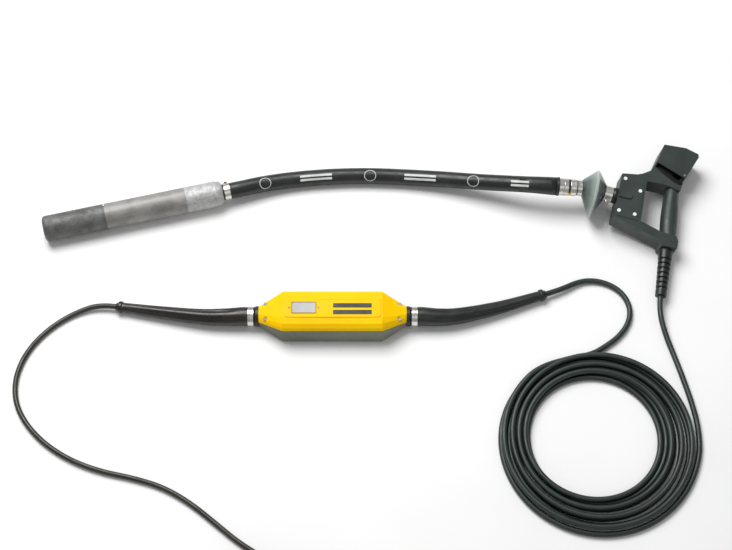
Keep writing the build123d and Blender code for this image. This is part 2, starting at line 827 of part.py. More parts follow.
with BuildPart() as paddle_spring:
    spring_axis = Plane(origin=switch.from_local_coords((pivot_u, pivot_v, 0)),
                        x_dir=switch.z_dir, z_dir=switch.x_dir)
    ring(spring_axis, lug_half + 0.3, lug_half + spring_gap - 0.5,
         pin_radius + fit, pin_radius + 0.9)
    for turn_number in range(4):
        start = lug_half + 0.6 + 1.5 * turn_number
        ring(spring_axis, start, start + 1, pin_radius + 0.8, spring_radius)
save("paddle_spring", paddle_spring)

with BuildPart() as paddle_pin:
    peg(switch, pivot_u, pivot_v, -paddle_half, paddle_half + 0.6, pin_radius)
save("paddle_pin", paddle_pin)

# ---------------------------------------------------------------- strain relief
relief_collar = 22.0


def relief_radius(along):
    """Outer radius of the strain relief at a distance from the handle."""
    return relief_top_radius + (relief_end_radius - relief_top_radius) * along / relief_length


relief_profile = [(0.3, cable_radius + fit), (0.3, relief_radius(0)),
                  (relief_collar, relief_radius(relief_collar))]
for number in range(relief_grooves):
    start = relief_collar + number * relief_pitch
    depth = 3.4
    relief_profile += [
        (start + 1, relief_radius(start) - depth),
        (start + 4.5, relief_radius(start) - depth),
        (start + 5.5, relief_radius(start + 5)),
        (start + relief_pitch, relief_radius(start + relief_pitch)),
    ]
relief_profile += [(relief_length, relief_radius(relief_length)),
                   (relief_length, cable_radius + fit)]
with BuildPart() as strain_relief:
    turn(relief, *relief_profile)
save("strain_relief", strain_relief)

# ---------------------------------------------------------------- control cable
cable_floor = cable_radius + floor_gap
relief_exit = tuple(relief.from_local_coords((relief_length, 0, 0)))
relief_lead = tuple(relief.from_local_coords((relief_length + 34, 0, 0)))
handle_run = [
    relief_exit,
    relief_lead,
    (711.0, -38.0, 10.0),
    (726.0, -86.0, cable_floor),
    (741.0, -142.0, cable_floor),
    (754.0, -198.0, cable_floor),
    (762.0, -252.0, cable_floor),
]
coil_height = coil_layers * 2 * cable_radius + floor_gap

with BuildPart() as cable_handle_run:
    with BuildLine() as handle_path:
        FilletPolyline(*handle_run, radius=corner_radii(handle_run, 10 * cable_radius))
    with BuildSketch(start_plane(handle_run)):
        Circle(cable_radius)
    sweep()
report_tube("cable_handle_run", cable_handle_run, math.pi * cable_radius**2, handle_path)
save("cable_handle_run", cable_handle_run)

with BuildPart() as cable_coil:
    with BuildSketch(Plane.XY.offset(floor_gap)):
        with Locations(coil_centre):
            Circle(coil_outer_radius)
        with Locations(coil_hole_centre):
            Circle(coil_hole_radius, mode=Mode.SUBTRACT)
    extrude(amount=coil_height - floor_gap)
    fillet(cable_coil.edges().filter_by(GeomType.CIRCLE), 5.0)
save("cable_coil", cable_coil)

# ---------------------------------------------------------------- converter
foot_flare = 2.5                    # how far the base stands out at its foot
section_points = [
    (converter_half_width - 1.5, 0.0, -65.0),
    (converter_half_width + foot_flare, 4.0, -35.0),
    (converter_half_width, base_height, math.degrees(
        math.asin((seam_end_height - gland_height) / end_radius))),
    (44.0, 54.0, 42.0),
    (36.0, 60.0, 58.0),
    (22.0, crown_height, 76.0),
]


def converter_section(x, inset, radius):
    """The converter's outline across its length: full in the middle, round at the ends."""
    across = Plane(origin=(x, 0, 0), x_dir=(0, 1, 0), z_dir=(1, 0, 0))
    middle = base_height / 2
    points = []
    for y, z, angle in section_points:
        if radius:
            turn_angle = math.radians(angle)
            points.append((radius * math.cos(turn_angle),
                           gland_height + radius * math.sin(turn_angle)))
        elif z == base_height:
            points.append((y - inset, z))
        else:
            points.append((y - inset, z + inset if z < middle else z - inset))
    mirrored = [(-y, z) for y, z in reversed(points)]
    with BuildSketch(across, mode=Mode.PRIVATE) as section:
        with BuildLine():
            Polyline(*points, *mirrored, close=True)
        make_face()
    return section.sketch.faces()[0]


def converter_form(inset, half_length, radius, mode=Mode.ADD):
    """The converter's body, or the space inside it when inset."""
    straight = converter_straight_half
    loft([converter_section(-half_length, inset, radius),
          converter_section(-straight, inset, 0)], ruled=True, mode=mode)
    loft([converter_section(-straight, inset, 0),
          converter_section(straight, inset, 0)], ruled=True, mode=mode)
    loft([converter_section(straight, inset, 0),
          converter_section(half_length, inset, radius)], ruled=True, mode=mode)


lengthwise = Plane(origin=(0, 0, 0), x_dir=(1, 0, 0), z_dir=(0, -1, 0))


def seam_slab(lift, top):
    """Points of the region above the parting line, raised by lift, up to top."""
    return [
        (-converter_half_length - 5, seam_end_height + lift - 1.45),
        (-converter_straight_half, base_height + lift),
        (converter_straight_half, base_height + lift),
        (converter_half_length + 5, seam_end_height + lift - 1.45),
        (converter_half_length + 5, top),
        (-converter_half_length - 5, top),
    ]


screw_places = [(x, y) for x in (-converter_screw_x, converter_screw_x)
                for y in (-converter_screw_y, converter_screw_y)]
inner_radius = end_radius - converter_wall
inner_half_length = converter_half_length - 7

with BuildPart() as converter_base:
    converter_form(0, converter_half_length, end_radius)
    converter_form(converter_wall, inner_half_length, inner_radius, mode=Mode.SUBTRACT)
    for x, y in screw_places:
        peg(Plane.XY, x, y, 16, 40, boss_radius)
    prism(lengthwise, -80, 80, *seam_slab(0, 200), mode=Mode.SUBTRACT)
    for x, y in screw_places:
        peg(Plane.XY, x, y, 18, 60, screw_shank_radius - 0.3, mode=Mode.SUBTRACT)
    rod(Plane(origin=(0, 0, gland_height)), -200, 200, 10, mode=Mode.SUBTRACT)
    with Locations((-72, -28), (72, -28), (-72, 28), (72, 28)):
        Cylinder(4, 12, align=(Align.CENTER, Align.CENTER, Align.MIN))
save("converter_base", converter_base)

with BuildPart() as converter_gasket:
    converter_form(0, converter_half_length, end_radius)
    converter_form(converter_wall, inner_half_length, inner_radius, mode=Mode.SUBTRACT)
    for x, y in screw_places:
        peg(Plane.XY, x, y, 16, 44, boss_radius)
    prism(lengthwise, -80, 80, *seam_slab(gasket_thickness, 200), mode=Mode.SUBTRACT)
    prism(lengthwise, -80, 80, *seam_slab(0, -50), mode=Mode.SUBTRACT)
    for x, y in screw_places:
        peg(Plane.XY, x, y, 18, 60, screw_shank_radius + 0.3, mode=Mode.SUBTRACT)
    rod(Plane(origin=(0, 0, gland_height)), -200, 200, 10, mode=Mode.SUBTRACT)
save("converter_gasket", converter_gasket)

screw_seat = 43.0
panel_top = crown_height + panel_height
plate_y = 0.5
rivet_places = (-91.5, -29.5)
rivet_radius = 1.4
rivet_depth = 3.0
with BuildPart() as converter_cover:
    converter_form(0, converter_half_length, end_radius)
    converter_form(converter_wall, inner_half_length, inner_radius, mode=Mode.SUBTRACT)
    for x, y in screw_places:
        peg(Plane.XY, x, y, 16, screw_seat, boss_radius)
    prism(lengthwise, -80, 80, *seam_slab(gasket_thickness, -50), mode=Mode.SUBTRACT)
    for x, y in screw_places:
        peg(Plane.XY, x, y, screw_seat, 80, screw_head_radius + 0.4, mode=Mode.SUBTRACT)
        peg(Plane.XY, x, y, 18, 60, screw_shank_radius + 0.3, mode=Mode.SUBTRACT)
    rod(Plane(origin=(0, 0, gland_height)), -200, 200, 10, mode=Mode.SUBTRACT)
    with BuildSketch(Plane.XY.offset(crown_height - 1), mode=Mode.PRIVATE) as panel:
        RectangleRounded(2 * converter_straight_half - 6, 41, 6)
    extrude(panel.sketch, amount=panel_height + 1, taper=12)
    for x in rivet_places:
        peg(Plane.XY, x, plate_y, panel_top - rivet_depth, panel_top + 1, rivet_radius,
            mode=Mode.SUBTRACT)
save("converter_cover", converter_cover)

with BuildPart() as converter_screws:
    for x, y in screw_places:
        peg(Plane.XY, x, y, 20, screw_seat, screw_shank_radius - 0.35)
        peg(Plane.XY, x, y, screw_seat, screw_seat + 3.6, screw_head_radius)
save("converter_screws", converter_screws)

board_height = 12.0
with BuildPart() as circuit_board:
    with BuildSketch(Plane.XY.offset(board_height)):
        Rectangle(170, 72)
    extrude(amount=1.6)
save("circuit_board", circuit_board)

board_top = board_height + 1.6
with BuildPart() as smoothing_capacitors:
    for x in (-62, -36, -10):
        peg(Plane.XY, x, -14, board_top, board_top + 34, 11)
save("smoothing_capacitors", smoothing_capacitors)

with BuildPart() as power_module:
    block(Plane.XY, (12, 76), (-30, -2), (board_top, board_top + 14))
    for number in range(8):
        block(Plane.XY, (14 + 8 * number, 17 + 8 * number), (-30, -2),
              (board_top + 14, board_top + 28))
save("power_module", power_module)

with BuildPart() as line_choke:
    with BuildSketch(Plane.XY.offset(board_top)):
        with Locations((30, 20)):
            Circle(13)
            Circle(6, mode=Mode.SUBTRACT)
    extrude(amount=14)
    fillet(line_choke.edges().filter_by(GeomType.CIRCLE), 2.5)
save("line_choke", line_choke)

with BuildPart() as rating_plate:
    with BuildSketch(Plane.XY.offset(panel_top)):
        with Locations((sum(rivet_places) / 2, plate_y)):
            RectangleRounded(50, 24, 1.5)
    extrude(amount=0.7)
save("rating_plate", rating_plate)

with BuildPart() as plate_rivets:
    for x in rivet_places:
        peg(Plane.XY, x, plate_y, panel_top - rivet_depth, panel_top, rivet_radius)
        with BuildSketch(Plane.XY.offset(panel_top), mode=Mode.PRIVATE) as rivet_head:
            with Locations((x, plate_y)):
                Circle(2.4)
        extrude(rivet_head.sketch, amount=0.9, taper=30)
save("plate_rivets", plate_rivets)

# ---------------------------------------------------------------- glands and boots
stub_start = converter_half_length + gland_flange_length
lead_plane = Plane(origin=(0, 0, gland_height), x_dir=(-1, 0, 0), z_dir=(0, 0, 1))
control_plane = Plane(origin=(0, 0, gland_height), x_dir=(1, 0, 0), z_dir=(0, 0, 1))

with BuildPart() as converter_glands:
    for side in (lead_plane, control_plane):
        turn(
            side,
            (converter_half_length - 9, 7),
            (stub_start + gland_stub_length, 7),
            (stub_start + gland_stub_length, gland_stub_radius),
            (stub_start, gland_stub_radius),
            (stub_start, gland_flange_radius - 1.5),
            (stub_start - 1.5, gland_flange_radius),
            (converter_half_length + 0.2, gland_flange_radius),
            (converter_half_length + 0.2, 10 - running_fit),
            (converter_half_length - 9, 10 - running_fit),
        )
save("converter_glands", converter_glands)

boot_floor = boot_collar_radius + floor_gap
boot_grip_end = stub_start + gland_stub_length + 4
lead_boot_route = [(-boot_grip_end, 0, gland_height), (-232.0, -1.0, 22.2),
                   (-283.0, 1.0, 20.0), (-370.0, 13.0, 16.0), (-452.0, 26.0, boot_floor + 0.4)]
control_boot_route = [(boot_grip_end, 0, gland_height), (226.0, -1.5, 22.2),
                      (272.0, 3.0, 20.2), (359.0, 25.0, 16.0), (446.0, 54.0, boot_floor + 0.4)]


def boot(route, side):
    """A tapered sleeve along a gentle curve, with a collar at its thin end."""
    with BuildLine(mode=Mode.PRIVATE) as axis_line:
        Spline(*route, tangents=(side.x_dir, Vector(*route[-1]) - Vector(*route[-2])))
    path = axis_line.line
    sections = []
    steps = 6
    for number in range(steps + 1):
        step = number / steps
        radius = boot_start_radius + (boot_end_radius - boot_start_radius) * step
        across = Plane(origin=path @ step, z_dir=path % step)
        with BuildSketch(across, mode=Mode.PRIVATE) as section:
            Circle(radius)
        sections.append(section.sketch.faces()[0])
    loft(sections)
    rod(side, stub_start + 0.3, boot_grip_end, boot_start_radius)
    end = Plane(origin=path @ 1, z_dir=path % 1)
    peg(end, 0, 0, -2, boot_collar_length, boot_collar_radius)
    rod(side, stub_start - 1, stub_start + gland_stub_length + 0.5, gland_stub_radius + fit,
        mode=Mode.SUBTRACT)
    return end


with BuildPart() as lead_boot:
    lead_boot_end = boot(lead_boot_route, lead_plane)
save("lead_boot", lead_boot)

with BuildPart() as control_boot:
    control_boot_end = boot(control_boot_route, control_plane)
save("control_boot", control_boot)

band_start = stub_start + 3
with BuildPart() as boot_bands:
    for side in (lead_plane, control_plane):
        ring(side, band_start, band_start + 12, boot_start_radius + fit, boot_start_radius + 1.2)
save("boot_bands", boot_bands)

# ---------------------------------------------------------------- control cable, converter end
boot_exit = tuple(control_boot_end.from_local_coords((0, 0, boot_collar_length)))
boot_lead = tuple(control_boot_end.from_local_coords((0, 0, boot_collar_length + 34)))
converter_run = [
    boot_exit,
    boot_lead,
    (536.0, 93.5, cable_floor + 1.0),
    (573.0, 95.5, cable_floor),
    (608.0, 82.0, cable_floor),
    (632.0, 57.0, cable_floor),
    (641.5, 24.0, cable_floor),
    (634.0, -10.0, cable_floor),
    (611.0, -41.0, cable_floor),
    (579.0, -65.0, cable_floor),
    (547.0, -84.0, cable_floor),
]

with BuildPart() as cable_converter_run:
    with BuildLine() as converter_path:
        FilletPolyline(*converter_run, radius=corner_radii(converter_run, 10 * cable_radius))
    with BuildSketch(start_plane(converter_run)):
        Circle(cable_radius)
    sweep()
report_tube("cable_converter_run", cable_converter_run, math.pi * cable_radius**2, converter_path)
save("cable_converter_run", cable_converter_run)

# ---------------------------------------------------------------- mains lead
lead_floor = lead_radius + floor_gap
lead_exit = tuple(lead_boot_end.from_local_coords((0, 0, boot_collar_length)))
lead_lead = tuple(lead_boot_end.from_local_coords((0, 0, boot_collar_length + 36)))
lead_route = [
    lead_exit,
    lead_lead,
    (-548.0, 19.5, lead_floor + 1.0),
    (-592.0, -8.0, lead_floor),
    (-631.0, -47.0, lead_floor),
    (-657.0, -92.0, lead_floor),
    (-669.0, -143.0, lead_floor),
    (-662.0, -196.0, lead_floor),
    (-634.0, -245.0, lead_floor),
    (-590.0, -289.0, lead_floor),
    (-534.0, -324.0, lead_floor),
    (-471.0, -347.5, lead_floor),
    (-406.0, -361.0, lead_floor),
    (-342.0, -381.0, lead_floor),
    (-284.0, -416.0, lead_floor),
    (-232.0, -459.0, lead_floor),
    (-184.0, -499.0, lead_floor),
    (-133.0, -531.0, lead_floor),
    (-105.0, -553.0, lead_floor),
]

with BuildPart() as mains_lead_run:
    with BuildLine() as lead_path:
        FilletPolyline(*lead_route, radius=corner_radii(lead_route, 10 * lead_radius))
    with BuildSketch(start_plane(lead_route)):
        Circle(lead_radius)
    sweep()
report_tube("mains_lead_run", mains_lead_run, math.pi * lead_radius**2, lead_path)
save("mains_lead_run", mains_lead_run)

stored_half_width = stored_columns * lead_radius
with BuildPart() as mains_lead_coil:
    with BuildSketch(Plane.XY.offset(floor_gap)):
        with Locations(stored_centre):
            Circle(stored_mean_radius + stored_half_width)
            Circle(stored_mean_radius - stored_half_width, mode=Mode.SUBTRACT)
    extrude(amount=stored_layers * 2 * lead_radius)
    fillet(mains_lead_coil.edges().filter_by(GeomType.CIRCLE), 4.0)
save("mains_lead_coil", mains_lead_coil)

# ---------------------------------------------------------------- plug
plug = Plane(origin=(*plug_centre, plug_radius + floor_gap), x_dir=(1, 0, 0), z_dir=(0, 0, 1))
plug_tail = -30.0
with BuildPart() as plug_body:
    turn(
        plug,
        (plug_tail, lead_radius + fit),
        (plug_tail, 8.5),
        (-4, 10.5),
        (4, plug_radius - 3),
        (14, plug_radius),
        (plug_length - 6, plug_radius),
        (plug_length, plug_radius - 1.5),
        (plug_length, 0),
        (-6, 0),
        (-6, lead_radius + fit),
    )
    for y in (-pin_spacing / 2, pin_spacing / 2):
        pin_line = Plane(origin=plug.from_local_coords((0, y, 0)), x_dir=plug.x_dir,
                         z_dir=plug.z_dir)
        rod(pin_line, plug_length - 16, plug_length + 1, pin_root_radius, mode=Mode.SUBTRACT)
    for side in (-1, 1):
        block(plug, (plug_length - 18, plug_length + 1), (-4, 4),
              sorted((side * (plug_radius - 2), side * (plug_radius + 1))), mode=Mode.SUBTRACT)
save("plug_body", plug_body)

with BuildPart() as plug_contacts:
    for y in (-pin_spacing / 2, pin_spacing / 2):
        pin_line = Plane(origin=plug.from_local_coords((0, y, 0)), x_dir=plug.x_dir,
                         z_dir=plug.z_dir)
        rod(pin_line, plug_length - 16, plug_length + pin_root_length, pin_root_radius)
        rod(pin_line, plug_length + pin_root_length, plug_length + plug_pin_length,
            plug_pin_radius)
    for side in (-1, 1):
        block(plug, (plug_length - 17.8, plug_length), (-3.8, 3.8),
              sorted((side * (plug_radius - 2), side * (plug_radius - 0.8))))
save("plug_contacts", plug_contacts)

# the stored lead's tail, over the top of its coil and down to the plug
over_coil = floor_gap + (2 * stored_layers + 1) * lead_radius + 0.3
tail_route = [
    tuple(plug.from_local_coords((-6.5, 0, 0))),
    tuple(plug.from_local_coords((-42.0, 0, 0))),
    (-50.0, -580.0, 26.0),
    (-92.0, -560.0, over_coil),
    (-133.0, -552.0, over_coil),
    (-172.0, -562.0, over_coil),
]
with BuildPart() as mains_lead_tail:
    with BuildLine() as tail_path:
        FilletPolyline(*tail_route, radius=corner_radii(tail_route, 10 * lead_radius))
    with BuildSketch(start_plane(tail_route)):
        Circle(lead_radius)
    sweep()
report_tube("mains_lead_tail", mains_lead_tail, math.pi * lead_radius**2, tail_path)
save("mains_lead_tail", mains_lead_tail)
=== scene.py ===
"""Looks of the concrete vibrator: cords, rubber parts, fine detail and materials round the frame."""

import json
import math

import bmesh
import bpy
import numpy as np
from mathutils import Matrix, Vector


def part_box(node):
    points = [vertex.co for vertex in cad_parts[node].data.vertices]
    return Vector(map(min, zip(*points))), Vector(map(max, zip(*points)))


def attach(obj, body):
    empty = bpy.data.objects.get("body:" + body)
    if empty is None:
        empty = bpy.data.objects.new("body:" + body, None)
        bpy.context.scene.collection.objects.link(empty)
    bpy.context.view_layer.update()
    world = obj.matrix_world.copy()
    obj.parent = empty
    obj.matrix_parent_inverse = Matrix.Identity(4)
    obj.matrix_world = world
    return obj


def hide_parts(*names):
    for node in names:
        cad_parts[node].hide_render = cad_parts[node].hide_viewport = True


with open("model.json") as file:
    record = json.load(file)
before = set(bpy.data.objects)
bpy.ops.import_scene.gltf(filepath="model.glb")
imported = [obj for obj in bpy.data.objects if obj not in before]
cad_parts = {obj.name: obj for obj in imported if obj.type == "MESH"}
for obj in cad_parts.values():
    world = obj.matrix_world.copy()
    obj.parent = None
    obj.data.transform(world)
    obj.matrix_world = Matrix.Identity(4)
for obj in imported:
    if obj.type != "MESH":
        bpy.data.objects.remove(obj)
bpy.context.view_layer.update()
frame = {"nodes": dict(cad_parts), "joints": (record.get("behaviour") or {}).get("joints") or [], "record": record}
MM = 0.001
TURN = 2 * math.pi


# ---------------------------------------------------------------- camera
VIEW_TARGET = Vector((0.0713, 0.1126, 0.0))
VIEW_DISTANCE = 3.6
VIEW_ELEVATION = math.radians(62)
VIEW_LENS = 81.09


def add_camera():
    """The camera looks along +Y and down at the floor, from far enough away to be nearly flat."""
    data = bpy.data.cameras.new("camera")
    data.lens = VIEW_LENS
    data.clip_end = 20
    camera = bpy.data.objects.new("camera", data)
    bpy.context.scene.collection.objects.link(camera)
    back = Vector((0, -math.cos(VIEW_ELEVATION), math.sin(VIEW_ELEVATION)))
    camera.location = VIEW_TARGET + back * VIEW_DISTANCE
    camera.rotation_euler = (math.pi / 2 - VIEW_ELEVATION, 0, 0)
    bpy.context.scene.camera = camera


add_camera()


# ---------------------------------------------------------------- materials
def linear(red, green, blue):
    """A display colour, 0 to 255 a channel, as the linear colour that a shader takes."""
    channels = [value / 255 for value in (red, green, blue)]
    curved = [c / 12.92 if c <= 0.04045 else ((c + 0.055) / 1.055) ** 2.4 for c in channels]
    return (*curved, 1.0)


class Finish:
    """A procedural material: its shader, and the few kinds of node that every finish is made from."""

    def __init__(self, name, roughness=0.5, metallic=0.0, **sockets):
        self.material = bpy.data.materials.new(name)
        self.material.use_nodes = True
        self.tree = self.material.node_tree
        self.shader = self.tree.nodes["Principled BSDF"]
        self.shader.inputs["Roughness"].default_value = roughness
        self.shader.inputs["Metallic"].default_value = metallic
        for socket, value in sockets.items():
            self.shader.inputs[socket.replace("_", " ")].default_value = value
        self.place = self.add("ShaderNodeTexCoord").outputs["Object"]

    def add(self, kind, **settings):
        node = self.tree.nodes.new(kind)
        for name, value in settings.items():
            setattr(node, name, value)
        return node

    def link(self, source, target):
        self.tree.links.new(source, target)

    def stretched(self, scale=(1, 1, 1), rotation=(0, 0, 0)):
        """The place on the object, turned and stretched, for a texture with a direction."""
        node = self.add("ShaderNodeMapping", vector_type="TEXTURE")
        node.inputs["Rotation"].default_value = rotation
        node.inputs["Scale"].default_value = scale
        self.link(self.place, node.inputs["Vector"])
        return node.outputs["Vector"]

    def noise(self, size, detail=4.0, rough=0.6, where=None):
        """Soft noise whose blobs are about size metres across."""
        node = self.add("ShaderNodeTexNoise")
        node.inputs["Scale"].default_value = 0.5 / size
        node.inputs["Detail"].default_value = detail
        node.inputs["Roughness"].default_value = rough
        self.link(where or self.place, node.inputs["Vector"])
        return node.outputs["Fac"]

    def cells(self, size, where=None, feature="F1"):
        """Distance to scattered points about size metres apart."""
        node = self.add("ShaderNodeTexVoronoi", feature=feature)
        node.inputs["Scale"].default_value = 1 / size
        self.link(where or self.place, node.inputs["Vector"])
        return node.outputs["Distance"]

    def spread(self, value, low, high, out_low=0.0, out_high=1.0):
        """A value between low and high mapped smoothly to another range."""
        node = self.add("ShaderNodeMapRange", interpolation_type="SMOOTHSTEP")
        node.inputs["From Min"].default_value = low
        node.inputs["From Max"].default_value = high
        node.inputs["To Min"].default_value = out_low
        node.inputs["To Max"].default_value = out_high
        self.link(value, node.inputs["Value"])
        return node.outputs["Result"]

    def math(self, operation, first, second):
        node = self.add("ShaderNodeMath", operation=operation)
        for socket, value in zip(node.inputs, (first, second)):
            if isinstance(value, (int, float)):
                socket.default_value = value
            else:
                self.link(value, socket)
        return node.outputs["Value"]

    def colour_between(self, factor, first, second):
        """A colour from first to second, each a colour or another node's output."""
        node = self.add("ShaderNodeMix", data_type="RGBA")
        self.link(factor, node.inputs["Factor"])
        for socket, value in ((node.inputs[6], first), (node.inputs[7], second)):
            if isinstance(value, tuple):
                socket.default_value = value
            else:
                self.link(value, socket)
        return node.outputs[2]

    def bump(self, *layers):
        """Layers of (height, depth in metres) on top of each other."""
        normal = None
        for height, depth in layers:
            node = self.add("ShaderNodeBump")
            node.inputs["Strength"].default_value = 1.0
            node.inputs["Distance"].default_value = depth
            self.link(height, node.inputs["Height"])
            if normal:
                self.link(normal, node.inputs["Normal"])
            normal = node.outputs["Normal"]
        self.link(normal, self.shader.inputs["Normal"])

    def done(self, colour=None, roughness=None):
        for value, socket in ((colour, "Base Color"), (roughness, "Roughness")):
            if isinstance(value, tuple):
                self.shader.inputs[socket].default_value = value
            elif value is not None:
                self.link(value, self.shader.inputs[socket])
        return self.material


def metal(name, dark, light, roughness=(0.3, 0.5), patch=0.012, grain=0.0009, depth=0.00003, pits=0.0,
          metallic=0.85):
    """Worn bare metal: blotches of two tones, fine grain and, for a casting, small pits."""
    finish = Finish(name, metallic=metallic)
    blotch = finish.noise(patch, detail=6, rough=0.7)
    speck = finish.noise(grain, detail=2)
    tone = finish.spread(finish.math("ADD", finish.math("MULTIPLY", blotch, 0.65),
                                     finish.math("MULTIPLY", speck, 0.35)), 0.34, 0.66)
    colour = finish.colour_between(tone, linear(*dark), linear(*light))
    rough = finish.spread(finish.noise(patch * 0.7, detail=5), 0.3, 0.7, *roughness)
    layers = [(speck, depth), (blotch, depth * 4)]
    if pits:
        hollow = finish.spread(finish.cells(0.0021), 0.0, 0.45)
        layers.append((hollow, pits))
    finish.bump(*layers)
    return finish.done(colour, rough)


def brushed(name, dark, light, rotation, roughness=(0.22, 0.42), metallic=0.9):
    """Ground or drawn steel with fine lines along its own axis."""
    finish = Finish(name, metallic=metallic)
    along = finish.stretched(scale=(0.06, 0.0012, 0.0012), rotation=rotation)
    lines = finish.add("ShaderNodeTexNoise")
    lines.inputs["Scale"].default_value = 1.0
    lines.inputs["Detail"].default_value = 5.0
    finish.link(along, lines.inputs["Vector"])
    worn = finish.noise(0.02, detail=6, rough=0.75)
    tone = finish.spread(finish.math("ADD", finish.math("MULTIPLY", worn, 0.7),
                                     finish.math("MULTIPLY", lines.outputs["Fac"], 0.3)), 0.33, 0.67)
    colour = finish.colour_between(tone, linear(*dark), linear(*light))
    rough = finish.spread(worn, 0.3, 0.7, *roughness)
    finish.bump((lines.outputs["Fac"], 0.00004), (worn, 0.00012))
    return finish.done(colour, rough)


def rubber(name, dark, light, roughness=(0.35, 0.6), grain=0.0012, depth=0.00006, dust=None, gloss=0.5):
    """Moulded rubber or a cable's sheath: a fine skin, dull patches and a little dust."""
    finish = Finish(name, Specular_IOR_Level=gloss)
    patch = finish.noise(0.03, detail=5, rough=0.65)
    skin = finish.noise(grain, detail=3)
    colour = finish.colour_between(finish.spread(patch, 0.35, 0.65), linear(*dark), linear(*light))
    if dust:
        specks = finish.spread(finish.noise(0.0035, detail=7, rough=0.8), 0.6, 0.75, 0.0, 0.35)
        colour = finish.colour_between(specks, colour, linear(*dust))
    rough = finish.spread(finish.noise(0.009, detail=4), 0.3, 0.7, *roughness)
    finish.bump((skin, depth), (patch, depth * 3))
    return finish.done(colour, rough)


def plastic(name, dark, light, roughness=(0.38, 0.52), grain=0.0007, depth=0.00005, scuff=None,
            gloss=0.5):
    """Moulded plastic or thick paint: a fine leather grain, gentle tone changes and light scuffs."""
    finish = Finish(name, Specular_IOR_Level=gloss)
    patch = finish.noise(0.045, detail=4)
    colour = finish.colour_between(finish.spread(patch, 0.35, 0.65), linear(*dark), linear(*light))
    if scuff:
        slanted = finish.stretched((1.0, 5.0, 1.0), (0, 0, 0.6))
        scratches = finish.noise(0.004, detail=8, rough=0.85, where=slanted)
        scratched = finish.spread(scratches, 0.6, 0.74, 0.0, 0.4)
        colour = finish.colour_between(scratched, colour, linear(*scuff))
    rough = finish.spread(finish.noise(0.012, detail=5), 0.3, 0.7, *roughness)
    grains = finish.cells(grain)
    finish.bump((grains, depth), (patch, depth * 3))
    return finish.done(colour, rough)


def rubber_with_painted_shade(name, middle, heading, painted_shade_steps):
    """Glossy moulded rubber with painted shade: dark near its axis, growing paler outwards to a painted highlight
    at its rim.
    """
    finish = Finish(name, Specular_IOR_Level=0.6)
    from_middle = finish.add("ShaderNodeVectorMath", operation="SUBTRACT")
    finish.link(finish.place, from_middle.inputs[0])
    from_middle.inputs[1].default_value = middle
    across = finish.add("ShaderNodeVectorMath", operation="CROSS_PRODUCT")
    finish.link(from_middle.outputs["Vector"], across.inputs[0])
    across.inputs[1].default_value = heading
    reach = finish.add("ShaderNodeVectorMath", operation="LENGTH")
    finish.link(across.outputs["Vector"], reach.inputs[0])
    uneven = finish.math("MULTIPLY", finish.noise(0.01, detail=5), 0.006)
    reach = finish.math("ADD", reach.outputs["Value"], finish.math("SUBTRACT", uneven, 0.003))
    colour = linear(*painted_shade_steps[0][1])
    for (near, _), (far, shade) in zip(painted_shade_steps, painted_shade_steps[1:]):
        colour = finish.colour_between(finish.spread(reach, near, far), colour, linear(*shade))
    skin = finish.noise(0.0014, detail=3)
    finish.bump((skin, 0.00004), (finish.noise(0.02), 0.0002))
    return finish.done(colour, finish.spread(finish.noise(0.008), 0.3, 0.7, 0.16, 0.3))


